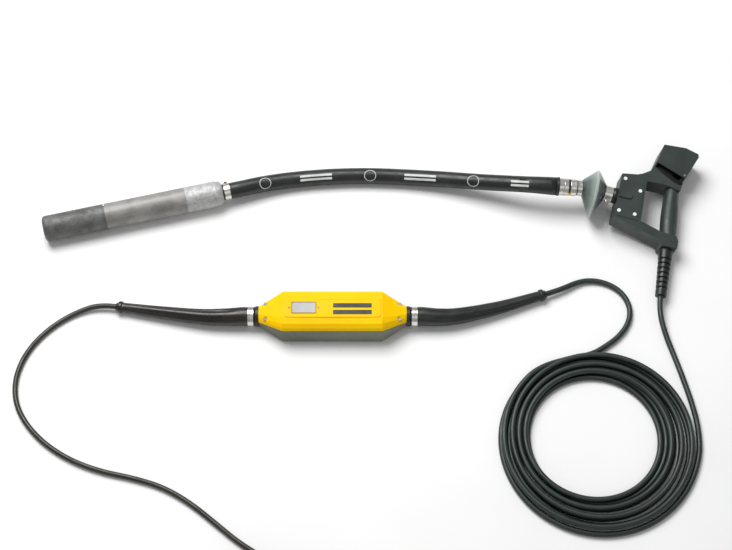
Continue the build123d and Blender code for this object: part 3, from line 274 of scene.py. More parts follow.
# How the head and the isolator lie: the head's turn about the vertical, the isolator in metres.
HEAD_TURN = (0, 0, math.radians(13.6))
ISOLATOR_MIDDLE = (0.5728, 0.2863, 0.0535)
ISOLATOR_HEADING = (math.cos(math.radians(11)), -math.sin(math.radians(11)), -0.1)
FINISHES = {
    "head_steel": metal("head_steel", (78, 79, 78), (120, 121, 119), (0.5, 0.68), patch=0.02,
                        depth=0.00008, metallic=0.45),
    "tube_steel": brushed("tube_steel", (122, 121, 118), (164, 162, 159), HEAD_TURN, (0.5, 0.64),
                          metallic=0.45),
    "cast_steel": metal("cast_steel", (150, 151, 151), (202, 202, 201), (0.48, 0.66), patch=0.006,
                        grain=0.0012, depth=0.0001, pits=0.00008, metallic=0.4),
    "bare_steel": metal("bare_steel", (150, 150, 148), (205, 205, 202), (0.25, 0.4)),
    "bright_band": metal("bright_band", (190, 188, 182), (238, 236, 230), (0.14, 0.3), patch=0.008),
    "lamination": brushed("lamination", (85, 86, 88), (130, 131, 133), (0, math.pi / 2, 0)),
    "copper": metal("copper", (150, 80, 45), (205, 120, 75), (0.3, 0.45)),
    "brass": metal("brass", (165, 130, 60), (215, 180, 95), (0.25, 0.4)),
    "plug_metal": metal("plug_metal", (175, 170, 155), (220, 215, 200), (0.2, 0.35)),
    "black_rubber": rubber("black_rubber", (22, 25, 25), (34, 38, 37), (0.3, 0.5)),
    "brown_rubber": rubber("brown_rubber", (26, 22, 20), (42, 36, 31), (0.22, 0.4), dust=(80, 76, 68)),
    # The isolator's colour is painted shade near its axis and a painted highlight towards its rim.
    "isolator_rubber": rubber_with_painted_shade("isolator_rubber", ISOLATOR_MIDDLE, ISOLATOR_HEADING,
                                   ((0.019, (50, 60, 58)), (0.034, (92, 104, 100)),
                                    (0.048, (130, 142, 136)), (0.0525, (162, 172, 167)))),
    "seal_rubber": rubber("seal_rubber", (11, 12, 12), (18, 19, 19), gloss=0.3),
    "handle_plastic": plastic("handle_plastic", (38, 48, 46), (48, 58, 55), (0.4, 0.54),
                              scuff=(74, 84, 80), gloss=0.6),
    "black_plastic": plastic("black_plastic", (20, 22, 22), (30, 32, 32)),
    "control_cable": rubber("control_cable", (20, 32, 29), (32, 46, 42), (0.4, 0.52), grain=0.0008,
                            gloss=0.6),
    "mains_lead": rubber("mains_lead", (30, 29, 23), (46, 44, 35), (0.3, 0.46), grain=0.0008),
    "yellow_cover": plastic("yellow_cover", (254, 199, 0), (255, 207, 0), (0.4, 0.5), grain=0.0011,
                            scuff=(244, 190, 0), gloss=0.1),
    "grey_casting": plastic("grey_casting", (96, 102, 88), (116, 121, 104), (0.4, 0.56), grain=0.0016,
                            depth=0.0001),
    "label_grey": plastic("label_grey", (158, 160, 158), (176, 178, 175), (0.28, 0.4), depth=0.00001),
    "rivet_steel": metal("rivet_steel", (128, 124, 110), (168, 164, 150), (0.3, 0.45), metallic=0.7),
    "board_green": plastic("board_green", (18, 74, 48), (30, 96, 62)),
    "component_dark": plastic("component_dark", (26, 30, 44), (40, 44, 60)),
    "bright_screw": plastic("bright_screw", (228, 228, 224), (246, 246, 243), (0.25, 0.4),
                            scuff=(120, 120, 116)),
    "dull_screw": plastic("dull_screw", (136, 124, 84), (168, 156, 116), (0.35, 0.5),
                          scuff=(80, 72, 44)),
    "hose_print": rubber("hose_print", (190, 194, 192), (222, 225, 223), (0.4, 0.6),
                         dust=(110, 114, 112)),
    "cover_print": plastic("cover_print", (28, 26, 10), (38, 36, 16), (0.4, 0.55)),
    "yellow_shadow": plastic("yellow_shadow", (168, 124, 8), (188, 142, 12), (0.45, 0.6), gloss=0.2),
    "module_aluminium": metal("module_aluminium", (165, 168, 170), (205, 207, 209)),
}
SPECIAL_FINISH = {
    "handle_cover_screws": "bright_screw",
    "converter_screws": "dull_screw",
    "plate_rivets": "dull_screw",
}


def dress_frame():
    """Give every CAD node the finish that its record slot names, or its own special one."""
    for subpart in frame["record"]["subparts"]:
        materials = frame["nodes"][subpart["node"]].data.materials
        materials.clear()
        materials.append(FINISHES[SPECIAL_FINISH.get(subpart["node"], subpart["material_slot"])])


SOFT_EDGES = {          # bevel width in millimetres of the moulded casings
    "handle_shell_lower": 2.6, "handle_shell_upper": 2.6, "handle_cover": 1.0, "switch_paddle": 1.4,
    "converter_cover": 1.2, "converter_base": 1.6, "plug_body": 0.8, "handle_cover_screws": 0.8,
    "converter_screws": 0.6, "rating_plate": 0.3,
}


def soften_frame():
    """Round the hard edges of moulded casings with a bevel, so that they catch the light."""
    for node, width in SOFT_EDGES.items():
        piece = frame["nodes"][node]
        weld = piece.modifiers.new("weld", "WELD")
        weld.merge_threshold = 0.00001
        bevel = piece.modifiers.new("bevel", "BEVEL")
        bevel.width = width * MM
        bevel.segments = 3
        bevel.limit_method = "ANGLE"
        bevel.angle_limit = math.radians(32)
        bevel.harden_normals = True


def new_piece(name, mesh, slot, body="frame"):
    """A mesh as a piece that rides on a body and takes a slot's finish."""
    piece = bpy.data.objects.new(name, mesh)
    bpy.context.scene.collection.objects.link(piece)
    mesh.materials.append(FINISHES[slot])
    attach(piece, body)
    return piece


def cord_curve(name, points, diameter, slot):
    """A free cord: one smooth NURBS spline whose control points are the route's, in metres."""
    curve = bpy.data.curves.new(name, "CURVE")
    curve.dimensions = "3D"
    spline = curve.splines.new("NURBS")
    spline.points.add(len(points) - 1)
    for target, point in zip(spline.points, points):
        target.co = (*point, 1.0)
    spline.order_u = 3
    spline.use_endpoint_u = True
    spline.resolution_u = 8
    curve.bevel_depth = diameter / 2
    curve.bevel_resolution = 5
    curve.use_fill_caps = True
    curve.materials.append(FINISHES[slot])
    piece = bpy.data.objects.new(name, curve)
    bpy.context.scene.collection.objects.link(piece)
    return piece


def line_of(piece):
    """The points that a cord's curve runs through, read from its spline without its thickness."""
    bare = piece.copy()
    bare.data = piece.data.copy()
    bare.data.bevel_depth = 0
    bare.data.use_fill_caps = False
    mesh = bpy.data.meshes.new_from_object(bare)
    points = [vertex.co.copy() for vertex in mesh.vertices]
    bpy.data.meshes.remove(mesh)
    bpy.data.objects.remove(bare)
    return points


def tube_mesh(name, rings, close_ends=True):
    """A skin over rings of points, each ring as long as the next."""
    work = bmesh.new()
    loops = [[work.verts.new(point) for point in ring] for ring in rings]
    count = len(loops[0])
    for before, after in zip(loops, loops[1:]):
        for index in range(count):
            follow = (index + 1) % count
            work.faces.new((before[index], before[follow], after[follow], after[index]))
    if close_ends:
        work.faces.new(list(reversed(loops[0])))
        work.faces.new(loops[-1])
    bmesh.ops.recalc_face_normals(work, faces=work.faces)
    mesh = bpy.data.meshes.new(name)
    work.to_mesh(mesh)
    work.free()
    for polygon in mesh.polygons:
        polygon.use_smooth = len(polygon.vertices) == 4
    return mesh


# ---------------------------------------------------------------- cords
HOSE_ROUTE = (
    (-247.7, 305.1, 28.7), (-206.88, 314.98, 28.7), (-150, 333.5, 22), (-80, 346.5, 18.2),
    (0, 353.5, 18.2), (82, 355, 18.5), (165, 350.5, 19), (245, 341, 26), (325, 325, 40.5),
    (398, 310, 58), (452.15, 302.32, 65.25), (496.03, 300.02, 62.80),
)
HANDLE_RUN = (
    (706.25, 50.65, 19.15), (700.25, 17.22, 17.46), (711, -38, 10), (726, -86, 6.2),
    (741, -142, 6.2), (754, -198, 6.2), (762, -252, 6.2),
)
CONVERTER_RUN = (
    (459.28, 58.43, 13.58), (491.53, 69.18, 12.80), (536, 93.5, 7.2), (573, 95.5, 6.2),
    (608, 82, 6.2), (632, 57, 6.2), (641.5, 24, 6.2), (634, -10, 6.2), (611, -41, 6.2),
    (579, -65, 6.2), (547, -84, 6.2),
)
LEAD_RUN = (
    (-465.82, 28.19, 13.55), (-501.37, 33.83, 12.64), (-548, 19.5, 6.95), (-592, -8, 5.95),
    (-631, -47, 5.95), (-657, -92, 5.95), (-669, -143, 5.95), (-662, -196, 5.95), (-634, -245, 5.95),
    (-590, -289, 5.95), (-534, -324, 5.95), (-471, -347.5, 5.95), (-406, -361, 5.95),
    (-342, -381, 5.95), (-284, -416, 5.95), (-232, -459, 5.95), (-184, -499, 5.95),
    (-133, -531, 5.95), (-105, -553, 5.95),
)
LEAD_TAIL = (
    (-172, -562, 40.75), (-133, -552, 40.75), (-92, -560, 40.75), (-50, -580, 26),
    (-6, -592, 19.7), (29.5, -592, 19.7),
)
CABLE_DIAMETER = 12.0
LEAD_DIAMETER = 11.5
HOSE_DIAMETER = 36.0
FLOOR_GAP = 0.2
STATIONS = 16           # points of a coil for each turn

# The loose coil between two circles that don't share a centre: (turn, place from the inner circle
# at 0 to the outer one at 1, height in layers above the floor).
COIL_INNER = (543.2, -271.0, 138.0)
COIL_OUTER = (557.2, -287.4, 206.0)
COIL_PLAN = (
    (0.0, 1.0, 0), (0.28, 1.0, 0), (0.41, 1.0, 0), (0.53, 0.98, 0), (0.65, 0.93, 0), (0.78, 0.8, 0),
    (1.0, 0.84, 0), (1.28, 0.8, 0), (1.41, 0.66, 0), (1.53, 0.7, 0), (1.78, 0.6, 0),
    (2.0, 0.62, 0), (2.28, 0.58, 0), (2.41, 0.46, 0), (2.78, 0.42, 0),
    (3.0, 0.42, 0), (3.41, 0.25, 0), (3.78, 0.22, 0),
    (4.0, 0.2, 0), (4.41, 0.06, 0), (4.78, 0.0, 0),
    (5.0, 0.02, 0), (5.28, 0.1, 0.6), (5.53, 0.12, 1), (5.78, 0.14, 1),
    (6.0, 0.32, 1), (6.28, 0.34, 1), (6.53, 0.3, 1), (6.78, 0.38, 1), (6.92, 0.66, 1),
    (7.0, 0.66, 1), (7.28, 0.52, 1), (7.53, 0.5, 1), (7.65, 0.7, 1.4), (7.78, 0.93, 1.4),
    (8.0, 0.92, 1), (8.28, 0.8, 1), (8.41, 0.78, 1), (8.53, 0.86, 1), (8.65, 0.93, 1), (8.77, 1.02, 0),
)
STORED_CENTRE = (-150.0, -618.0)
STORED_RADIUS = 69.0
STORED_COLUMNS = 3


def heading_at(centre, point):
    """Degrees round a centre, from +X towards +Y."""
    return math.degrees(math.atan2(point[1] - centre[1], point[0] - centre[0]))


def settle(radius, height, diameter, rounds=400):
    """Push a coil's turns apart where they lie in each other and let them sink onto what is below."""
    wanted = radius.copy()
    for _ in range(rounds):
        height -= 0.12
        radius += 0.04 * (wanted - radius)
        for skip in range(STATIONS, len(radius), STATIONS):
            across = radius[skip:] - radius[:-skip]
            up = height[skip:] - height[:-skip]
            apart = np.maximum(np.hypot(across, up), 1e-6)
            push = np.clip(diameter + 0.5 - apart, 0, None) / 2 / apart
            radius[skip:] += across * push
            radius[:-skip] -= across * push
            height[skip:] += up * push
            height[:-skip] -= up * push
        for values, stiffness in ((radius, 0.18), (height, 0.22)):
            bend = values[:-2] - 2 * values[1:-1] + values[2:]
            values[1:-1] += stiffness * bend
        np.clip(height, diameter / 2 + FLOOR_GAP, None, out=height)
    return radius, height


def loose_coil(start, end):
    """The control cable's coil, clockwise seen from above, from one run's end to the other's."""
    first = heading_at(COIL_OUTER, start)
    last = heading_at(COIL_OUTER, end)
    turns = 9 - ((last - first) % 360) / 360
    count = int(turns * STATIONS)
    turn = np.arange(1, count) / STATIONS
    plan = np.array(COIL_PLAN)
    place = np.interp(turn, plan[:, 0], plan[:, 1])
    layer = np.interp(turn, plan[:, 0], plan[:, 2])
    angle = np.radians(first) - TURN * turn
    wobble = 0.035 * np.sin(angle * 2 + turn * 2.3) + 0.02 * np.sin(angle * 3 - turn * 1.7)
    place = np.clip(place + wobble, 0, 1.0)
    inner, outer = np.array(COIL_INNER), np.array(COIL_OUTER)
    swing = np.array([np.cos(angle), np.sin(angle)])
    # distance from the inner circle's centre to the outer circle, along each heading
    offset = outer[:2] - inner[:2]
    towards = offset @ swing
    reach = towards + np.sqrt(outer[2] ** 2 - offset @ offset + towards ** 2)
    radius = inner[2] + (reach - inner[2]) * place
    height = CABLE_DIAMETER * (0.5 + 0.85 * layer) + FLOOR_GAP
    radius, height = settle(radius, height, CABLE_DIAMETER)
    return [
        (inner[0] + r * x, inner[1] + r * y, z)
        for r, x, y, z in zip(radius, swing[0], swing[1], height)
    ]


def neat_coil(start, end):
    """The mains lead's put-away coil, clockwise: out to in, in to out, out to in, a layer each."""
    first = heading_at(STORED_CENTRE, start)
    last = heading_at(STORED_CENTRE, end)
    turns = 9 - ((last - first) % 360) / 360
    points = []
    for index in range(1, int(turns * STATIONS) + 1):
        turn = index / STATIONS
        angle = math.radians(first) - TURN * turn
        layer = min(int(turn / STORED_COLUMNS), 2)
        column = turn % STORED_COLUMNS if layer < 2 else turn - 2 * STORED_COLUMNS
        step = min(max(column - 0.5, 0), STORED_COLUMNS - 1)
        side = 1 - step if layer % 2 == 0 else step - 1
        climb = min(max(turn - 2.75, 0) / 0.5, 1) + min(max(turn - 5.75, 0) / 0.5, 1)
        radius = STORED_RADIUS + side * (LEAD_DIAMETER + 0.1)
        height = FLOOR_GAP + LEAD_DIAMETER * (0.5 + climb)
        points.append((
            STORED_CENTRE[0] + radius * math.cos(angle),
            STORED_CENTRE[1] + radius * math.sin(angle),
            height,
        ))
    return points


def metres(points):
    return [tuple(value * MM for value in point) for point in points]


def add_cords():
    """The hose, the control cable and the mains lead, each at its real length. Returns the hose."""
    hose = cord_curve("hose", metres(HOSE_ROUTE), HOSE_DIAMETER * MM, "black_rubber")
    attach(hose, "frame")
    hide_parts("protective_hose", "hose_power_cable")

    coil = loose_coil(HANDLE_RUN[-1], CONVERTER_RUN[-1])
    route = metres([*HANDLE_RUN, *coil, *reversed(CONVERTER_RUN)])
    cable = cord_curve("control_cable", route, CABLE_DIAMETER * MM, "control_cable")
    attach(cable, "frame")
    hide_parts("cable_handle_run", "cable_coil", "cable_converter_run")

    stored = neat_coil(LEAD_RUN[-1], LEAD_TAIL[0])
    route = metres([*LEAD_RUN, *stored, *LEAD_TAIL])
    lead = cord_curve("mains_lead", route, LEAD_DIAMETER * MM, "mains_lead")
    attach(lead, "frame")
    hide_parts("mains_lead_run", "mains_lead_coil", "mains_lead_tail")
    return hose


# ---------------------------------------------------------------- pieces along a line
class Line:
    """A polyline with a steady frame, to place rings of points along and round it."""

    def __init__(self, points):
        self.points = [Vector(point) for point in points]
        self.along = [0.0]
        for before, after in zip(self.points, self.points[1:]):
            self.along.append(self.along[-1] + (after - before).length)
        self.length = self.along[-1]

    def at(self, distance):
        """The point at a distance along the line, its heading, its side and its upward direction."""
        distance = min(max(distance, 0.0), self.length)
        index = int(np.clip(np.searchsorted(self.along, distance) - 1, 0, len(self.points) - 2))
        before, after = self.points[index], self.points[index + 1]
        step = (distance - self.along[index]) / (self.along[index + 1] - self.along[index])
        earlier = self.points[max(index - 1, 0)]
        later = self.points[min(index + 2, len(self.points) - 1)]
        heading_in = (after - earlier).normalized()
        heading_out = (later - before).normalized()
        heading = heading_in.lerp(heading_out, step).normalized()
        side = heading.cross(Vector((0, 0, 1))).normalized()
        return before.lerp(after, step), heading, side, side.cross(heading).normalized()

    def on(self, distance, angle, radius):
        """A point at an angle round the line, 0 on its top and rising towards its right side."""
        middle, _, side, up = self.at(distance)
        return middle + (up * math.cos(angle) + side * math.sin(angle)) * radius

    def ring(self, distance, radius, count=32):
        """Points round the line, at one radius or at radius(angle)."""
        angles = [TURN * index / count for index in range(count)]
        return [self.on(distance, a, radius(a) if callable(radius) else radius) for a in angles]

    def nearest(self, x):
        """The distance along the line at which it passes an x."""
        return self.along[int(np.argmin([abs(point.x - x) for point in self.points]))]


def turned_piece(name, line, profile, slot, count=40):
    """A turned shape: rings at (distance, radius) along a line, all in metres."""
    return new_piece(name, tube_mesh(name, [line.ring(d, r, count) for d, r in profile]), slot)


def printed_mark(name, line, radius, shape, thickness=0.00012):
    """Paint on a round surface: each polygon of (distance, angle) corners, as a thin raised layer."""
    work = bmesh.new()
    for corners in shape:
        low = [work.verts.new(line.on(d, a, radius)) for d, a in corners]
        high = [work.verts.new(line.on(d, a, radius + thickness)) for d, a in corners]
        work.faces.new(high)
        work.faces.new(list(reversed(low)))
        for index in range(len(low)):
            follow = (index + 1) % len(low)
            work.faces.new((low[index], low[follow], high[follow], high[index]))
    bmesh.ops.recalc_face_normals(work, faces=work.faces)
    mesh = bpy.data.meshes.new(name)
    work.to_mesh(mesh)
    work.free()
    return new_piece(name, mesh, "hose_print")


def bar_shape(start, length, angle, half_angle, steps=12):
    """A plain bar lengthwise on a hose, split so that it follows the hose's curve."""
    cells = []
    for index in range(steps):
        for low, high in ((-half_angle, 0.0), (0.0, half_angle)):
            near = start + length * index / steps
            far = start + length * (index + 1) / steps
            cells.append(((near, angle + low), (far, angle + low),
                          (far, angle + high), (near, angle + high)))
    return cells


def ring_shape(middle, angle, radius, width, hose_radius, steps=36):
    """A plain circle painted on a hose."""
    cells = []
    for index in range(steps):
        corners = []
        inner = radius - width
        for turn, reach in ((index, radius), (index + 1, radius), (index + 1, inner), (index, inner)):
            swing = TURN * turn / steps
            corners.append((middle + reach * math.cos(swing),
                            angle + reach * math.sin(swing) / hose_radius))
        cells.append(tuple(corners))
    return cells


# Where the hose's marks are, as x in metres, and their sizes in metres and in radians round it.
HOSE_MARK_ANGLE = math.radians(28)
HOSE_BARS = (-0.038, 0.1935, 0.429)
BAR_LENGTH = 0.072
BAR_OFFSETS = (-0.24, 0.24)
BAR_HALF_ANGLE = 0.14
HOSE_RINGS = (-0.156, 0.078, 0.3135)
RING_RADIUS = 0.0135
RING_WIDTH = 0.0016
# The swelling over the nipple: (metres before the hose's end, how far it stands out in metres).
HOSE_SWELL = ((0.085, 0.00005), (0.06, 0.0004), (0.04, 0.0011), (0.02, 0.0018), (0.0075, 0.0021),
              (0.0072, 0.0005))


def add_hose_marks(hose):
    """Plain bars and circles where the hose carries print, and its end swelling over the nipple."""
    line = Line(line_of(hose))
    radius = HOSE_DIAMETER * MM / 2
    for number, x in enumerate(HOSE_BARS, 1):
        middle = line.nearest(x)
        cells = []
        for offset in BAR_OFFSETS:
            cells += bar_shape(middle - BAR_LENGTH / 2, BAR_LENGTH, HOSE_MARK_ANGLE + offset,
                               BAR_HALF_ANGLE)
        printed_mark(f"hose_bars_{number}", line, radius, cells)
    for number, x in enumerate(HOSE_RINGS, 1):
        circle = ring_shape(line.nearest(x), HOSE_MARK_ANGLE, RING_RADIUS, RING_WIDTH, radius)
        printed_mark(f"hose_ring_{number}", line, radius, circle)
    profile = [(line.length - back, radius + proud) for back, proud in HOSE_SWELL]
    turned_piece("hose_end_swell", line, profile, "black_rubber")


# ---------------------------------------------------------------- boots
# The boots' centre lines, radii and rolled lips, in millimetres.
LEAD_BOOT = (
    (-166.3, 0, 23), (-194, 0, 23), (-232, -1, 22.2), (-283, 1, 20), (-370, 13, 16), (-452, 26, 13.9),
)
CONTROL_BOOT = (
    (166.3, 0, 23), (194, 0, 23), (226, -1.5, 22.2), (272, 3, 20.2), (359, 25, 16), (446, 54, 13.9),
)
BOOT_START = 20.3
BOOT_END = 10.6
BEAD_RADIUS = 13.1
BOOT_LIP = (            # (distance past the boot's end, radius)
    (0.0, BOOT_END), (0.35, BEAD_RADIUS - 1.2), (1.4, BEAD_RADIUS - 0.2), (3.2, BEAD_RADIUS),
    (6.2, BEAD_RADIUS), (8.0, BEAD_RADIUS - 0.3), (9.0, BEAD_RADIUS - 1.6), (9.2, BOOT_END - 1.0),
    (13.9, BOOT_END - 2.2), (14.0, CABLE_DIAMETER / 2),
)
BOOT_STEPS = 96
BOOT_SIDES = 64
STRAIGHT_SHARE = 0.1    # the part of a boot that its band holds, round and unfolded
FOLD_TWIST = 0.5        # radians that the folds turn along a boot
# Each fold: (angle round the boot, half width in radians, depth in millimetres).
LEAD_FOLDS = ((0.2, 0.22, 2.0), (1.15, 0.2, 2.2), (-0.9, 0.25, 1.6), (2.4, 0.4, 1.2))
CONTROL_FOLDS = ((0.55, 0.2, 2.4), (-0.45, 0.25, 1.6), (1.45, 0.25, 1.8), (2.9, 0.4, 1.0))


def smooth_line(points, steps=14):
    """A smooth curve through points, as a Line in metres."""
    ends = [Vector(points[0]) * 2 - Vector(points[1]), *map(Vector, points),
            Vector(points[-1]) * 2 - Vector(points[-2])]
    path = []
    for a, b, c, d in zip(ends, ends[1:], ends[2:], ends[3:]):
        for index in range(steps):
            t = index / steps
            path.append(0.5 * (2 * b + (c - a) * t + (2 * a - 5 * b + 4 * c - d) * t * t
                               + (3 * b - a - 3 * c + d) * t ** 3))
    path.append(Vector(points[-1]))
    return Line([point * MM for point in path])


def add_boot(name, node, points, slot, folds):
    """A long tapered rubber boot with soft lengthwise folds and a rolled lip at its thin end."""
    line = smooth_line(points)
    rings = []
    for index in range(BOOT_STEPS + 1):
        share = index / BOOT_STEPS
        tapered = max(share - STRAIGHT_SHARE, 0) / (1 - STRAIGHT_SHARE)
        taper = BOOT_START + (BOOT_END - BOOT_START) * tapered
        rise = min(max((share - STRAIGHT_SHARE) / 0.15, 0), 1) * min(max((1.0 - share) / 0.3, 0), 1)

        def radius(angle, taper=taper, rise=rise, share=share):
            dip = 0.0
            for place, width, depth in folds:
                away = math.remainder(angle - place - FOLD_TWIST * share, TURN) / width
                dip += depth * math.exp(-away * away)
            return (taper - dip * rise) * MM

        rings.append(line.ring(line.length * share, radius, BOOT_SIDES))
    end, heading = line.points[-1], line.at(line.length)[1]
    beyond = Line([end - heading * 0.02, end + heading * 0.02])
    rings += [beyond.ring(0.02 + past * MM, radius * MM, BOOT_SIDES) for past, radius in BOOT_LIP]
    piece = new_piece(name, tube_mesh(name, rings), slot)
    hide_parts(node)


def add_boots():
    """The two folded boots, which replace the plain ones of the frame."""
    add_boot("lead_boot_folded", "lead_boot", LEAD_BOOT, "brown_rubber", LEAD_FOLDS)
    add_boot("control_boot_folded", "control_boot", CONTROL_BOOT, "black_rubber", CONTROL_FOLDS)


# ---------------------------------------------------------------- converter details
PLATE_MARGIN = 3.0              # how much longer and wider the label's frame is than the label
COVER_BARS = ((0.5, 11.0), (-15.5, -5.0))       # y ranges of the two plain bars
COVER_BAR_MIDDLE = 42.5
COVER_BAR_LENGTH = 82.0
COVER_RIDGES = (20.5, -21.0)
RIDGE_END = 104.0


def plate(name, centre, size, height, corner, slot, inner=None):
    """A flat plate with rounded corners and a chamfered top, or a frame round the opening inner."""
    outline = []
    half_x, half_y = size[0] / 2, size[1] / 2
    for cx, cy, first in ((1, 1, 0), (-1, 1, 90), (-1, -1, 180), (1, -1, 270)):
        for step in range(7):
            angle = math.radians(first + 15 * step)
            outline.append((cx * (half_x - corner) + corner * math.cos(angle),
                            cy * (half_y - corner) + corner * math.sin(angle)))
    chamfer = min(height * 0.4, 0.4)

    def level(grow, z):
        return [Vector((centre[0] + x + grow * math.copysign(1, x),
                        centre[1] + y + grow * math.copysign(1, y), centre[2] + z)) * MM
                for x, y in outline]

    rings = [level(0, 0), level(0, height - chamfer), level(-chamfer, height)]
    if inner:
        rings += [level(-inner, height), level(-inner - chamfer, 0.05), level(-inner - chamfer, 0)]
        rings.append(rings[0])
        mesh = tube_mesh(name, rings, close_ends=False)
    else:
        mesh = tube_mesh(name, rings)
    for polygon in mesh.polygons:
        polygon.use_smooth = False
    return new_piece(name, mesh, slot)


def ridge(name, start, end, y, z, width, height, slot):
    """A low moulded ridge along X that runs out softly at both ends."""
    rings = []
    steps = 40
    for index in range(steps + 1):
        share = index / steps
        x = start + (end - start) * share
        swell = math.sin(math.pi * share) ** 0.35 if 0 < share < 1 else 0.02
        ring = []
        for turn in range(13):
            angle = math.pi * turn / 12
            ring.append(Vector((x, y + width / 2 * math.cos(angle),
                                z - 0.4 + (height * swell + 0.4) * math.sin(angle))) * MM)
        rings.append(ring)
    return new_piece(name, tube_mesh(name, rings), slot)


def add_converter_details():
    """The label's recess frame, two plain bars in place of print, and the cover's moulded ridges."""
    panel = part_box("rating_plate")
    low, high = panel[0] / MM, panel[1] / MM
    centre = ((low.x + high.x) / 2, (low.y + high.y) / 2, low.z)
    size = (high.x - low.x + PLATE_MARGIN, high.y - low.y + PLATE_MARGIN)
    plate("plate_frame", centre, size, 1.4, 2.2, "yellow_shadow", inner=1.3)
    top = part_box("converter_cover")[1].z / MM
    for number, (near, far) in enumerate(COVER_BARS, 1):
        middle = (COVER_BAR_MIDDLE, (near + far) / 2, top + 0.02)
        plate(f"cover_bar_{number}", middle, (COVER_BAR_LENGTH, far - near), 0.25, 1.2, "cover_print")
    for number, y in enumerate(COVER_RIDGES, 1):
        ridge(f"cover_ridge_{number}", -RIDGE_END, RIDGE_END, y, top - 1.7, 3.4, 2.1, "yellow_cover")


# ---------------------------------------------------------------- small parts
# The coupling's and the handle's own frames, in millimetres.
COUPLING_ORIGIN = (572.8, 296.0, 58.5)
COUPLING_HEADING = (0.997072, -0.052254, -0.055822)
HANDLE_ORIGIN = (572.8, 286.3, 53.5)
HANDLE_X = (0.966795, -0.214333, -0.139173)
HANDLE_Z = (0.126304, -0.072679, 0.989326)
HANDLE_HALF = 22.0
BLACK_RING = -54.5              # where the ring with the dot is, along the coupling
DOT_ANGLE = math.radians(82)
DOT_RADIUS = 0.0034
DOT_STEPS = 24
RING_OUTER = 0.0195             # the ring's radius under the dot
WELD_PLACE = 0.262              # along the head's line, where its tip part meets its tube
WELD_ANGLE = math.radians(34)
WELD_RADIUS = 0.0034
WELD_DEPTH = 0.0283             # the spot's middle lies this far from the head's axis
# The strip of painted shade under the paddle: its cross-section as (share across, height), and its top and foot
# edges in the handle's frame, in millimetres.
SHADE_STRIP_SECTION = ((0, -0.4), (0, 0.5), (0.15, 0.9), (0.5, 0.7), (0.85, 0.9), (1, 0.5), (1, -0.4))
SHADE_STRIP_TOP = ((121.0, 94.6), (136.0, 89.4), (152.0, 83.8), (168.0, 78.2), (180.0, 74.0), (185.0, 72.2))
SHADE_STRIP_FOOT = ((120.6, 93.6), (135.0, 85.0), (150.5, 76.5), (165.0, 69.5), (176.0, 65.8), (184.2, 65.4))


def on_handle(x, y, z):
    """A point given in the handle's own frame, in millimetres."""
    across, normal = Vector(HANDLE_X), Vector(HANDLE_Z)
    return (Vector(HANDLE_ORIGIN) + across * x + normal.cross(across) * y + normal * z) * MM


def add_painted_shade_under_paddle():
    """A near-black strip of painted shade under the paddle, which widens towards the handle's back."""
    rings = []
    for (top_x, top_y), (foot_x, foot_y) in zip(SHADE_STRIP_TOP, SHADE_STRIP_FOOT):
        ring = []
        for share, height in SHADE_STRIP_SECTION:
            ring.append(on_handle(top_x + (foot_x - top_x) * share, top_y + (foot_y - top_y) * share,
                                  HANDLE_HALF + height))
        rings.append(ring)
    # Its near-black seal_rubber finish is painted shade under the paddle.
    new_piece("paddle_shade_strip", tube_mesh("paddle_shade_strip", rings), "seal_rubber")


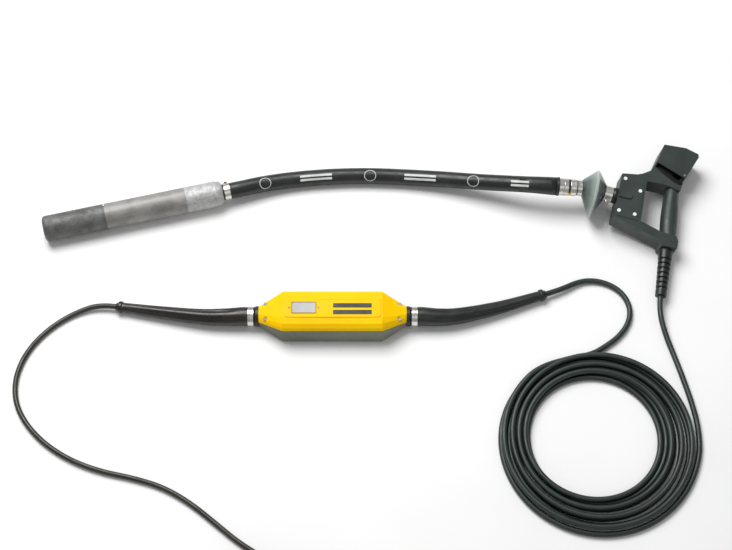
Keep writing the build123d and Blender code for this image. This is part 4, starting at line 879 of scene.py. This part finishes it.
def add_small_parts():
    """The yellow dot on the coupling and the weld spot on the head."""
    origin = Vector(COUPLING_ORIGIN) * MM
    heading = Vector(COUPLING_HEADING)
    coupling = Line([origin - heading * 0.1, origin + heading * 0.1])
    place = 0.1 + BLACK_RING * MM
    cells = []
    for index in range(DOT_STEPS):
        corners = [(place, DOT_ANGLE)]
        for turn in (index, index + 1):
            swing = TURN * turn / DOT_STEPS
            corners.append((place + DOT_RADIUS * math.cos(swing),
                            DOT_ANGLE + DOT_RADIUS * math.sin(swing) / RING_OUTER))
        cells.append(tuple(corners))
    dot = printed_mark("coupling_dot", coupling, 0.0192, cells, 0.0008)
    dot.data.materials.clear()
    dot.data.materials.append(FINISHES["yellow_cover"])

    spin = frame["joints"][0]
    middle, axis = Vector(spin["pos_m"]), Vector(spin["axis"])
    head = Line([middle - axis * 0.2, middle + axis * 0.2])
    weld = bmesh.new()
    bmesh.ops.create_icosphere(weld, subdivisions=3, radius=WELD_RADIUS)
    for vertex in weld.verts:
        wave = math.sin(vertex.co.x * 2100) * math.cos(vertex.co.y * 1700 + 1) * 0.0005
        vertex.co *= 1 + wave / WELD_RADIUS
        vertex.co.z *= 0.55
    mesh = bpy.data.meshes.new("weld_spot")
    weld.to_mesh(mesh)
    weld.free()
    place = head.on(WELD_PLACE, WELD_ANGLE, WELD_DEPTH)
    outward = (place - head.at(WELD_PLACE)[0]).normalized()
    turned = outward.to_track_quat("Z", "Y").to_matrix().to_4x4()
    mesh.transform(Matrix.Translation(place) @ turned)
    for polygon in mesh.polygons:
        polygon.use_smooth = True
    new_piece("weld_spot", mesh, "bright_band")


# ---------------------------------------------------------------- floor and light
FLOOR_HALF = 12.0
SKY_STRENGTH = 0.34
LIGHTS = (                      # (name, place, diameter, power)
    ("key", (-0.9, 1.5, 3.0), 2.5, 128),
    ("fill", (0.9, -2.4, 3.2), 2.2, 6),
)


def add_stage():
    """A pale floor, a big soft light from the upper left and an even white sky."""
    mesh = bpy.data.meshes.new("floor")
    half = FLOOR_HALF
    corners = [(-half, -half, 0), (half, -half, 0), (half, half, 0), (-half, half, 0)]
    mesh.from_pydata(corners, [], [(0, 1, 2, 3)])
    floor = bpy.data.objects.new("floor", mesh)
    bpy.context.scene.collection.objects.link(floor)
    finish = Finish("floor_white", roughness=0.85, Specular_IOR_Level=0.2)
    tone = finish.spread(finish.noise(0.25, detail=3), 0.3, 0.7)
    colour = finish.colour_between(tone, linear(246, 246, 246), linear(250, 250, 250))
    mesh.materials.append(finish.done(colour))

    world = bpy.data.worlds.new("studio")
    world.use_nodes = True
    world.node_tree.nodes["Background"].inputs["Color"].default_value = (1, 1, 1, 1)
    world.node_tree.nodes["Background"].inputs["Strength"].default_value = SKY_STRENGTH
    bpy.context.scene.world = world
    for name, place, size, power in LIGHTS:
        data = bpy.data.lights.new(name, "AREA")
        data.shape = "DISK"
        data.size = size
        data.energy = power
        light = bpy.data.objects.new(name, data)
        bpy.context.scene.collection.objects.link(light)
        light.location = place
        light.rotation_euler = (Vector(place) - VIEW_TARGET).to_track_quat("Z", "Y").to_euler()
    bpy.context.scene.view_settings.view_transform = "Standard"


dress_frame()
soften_frame()
add_hose_marks(add_cords())
add_boots()
add_converter_details()
add_small_parts()
add_painted_shade_under_paddle()
add_stage()
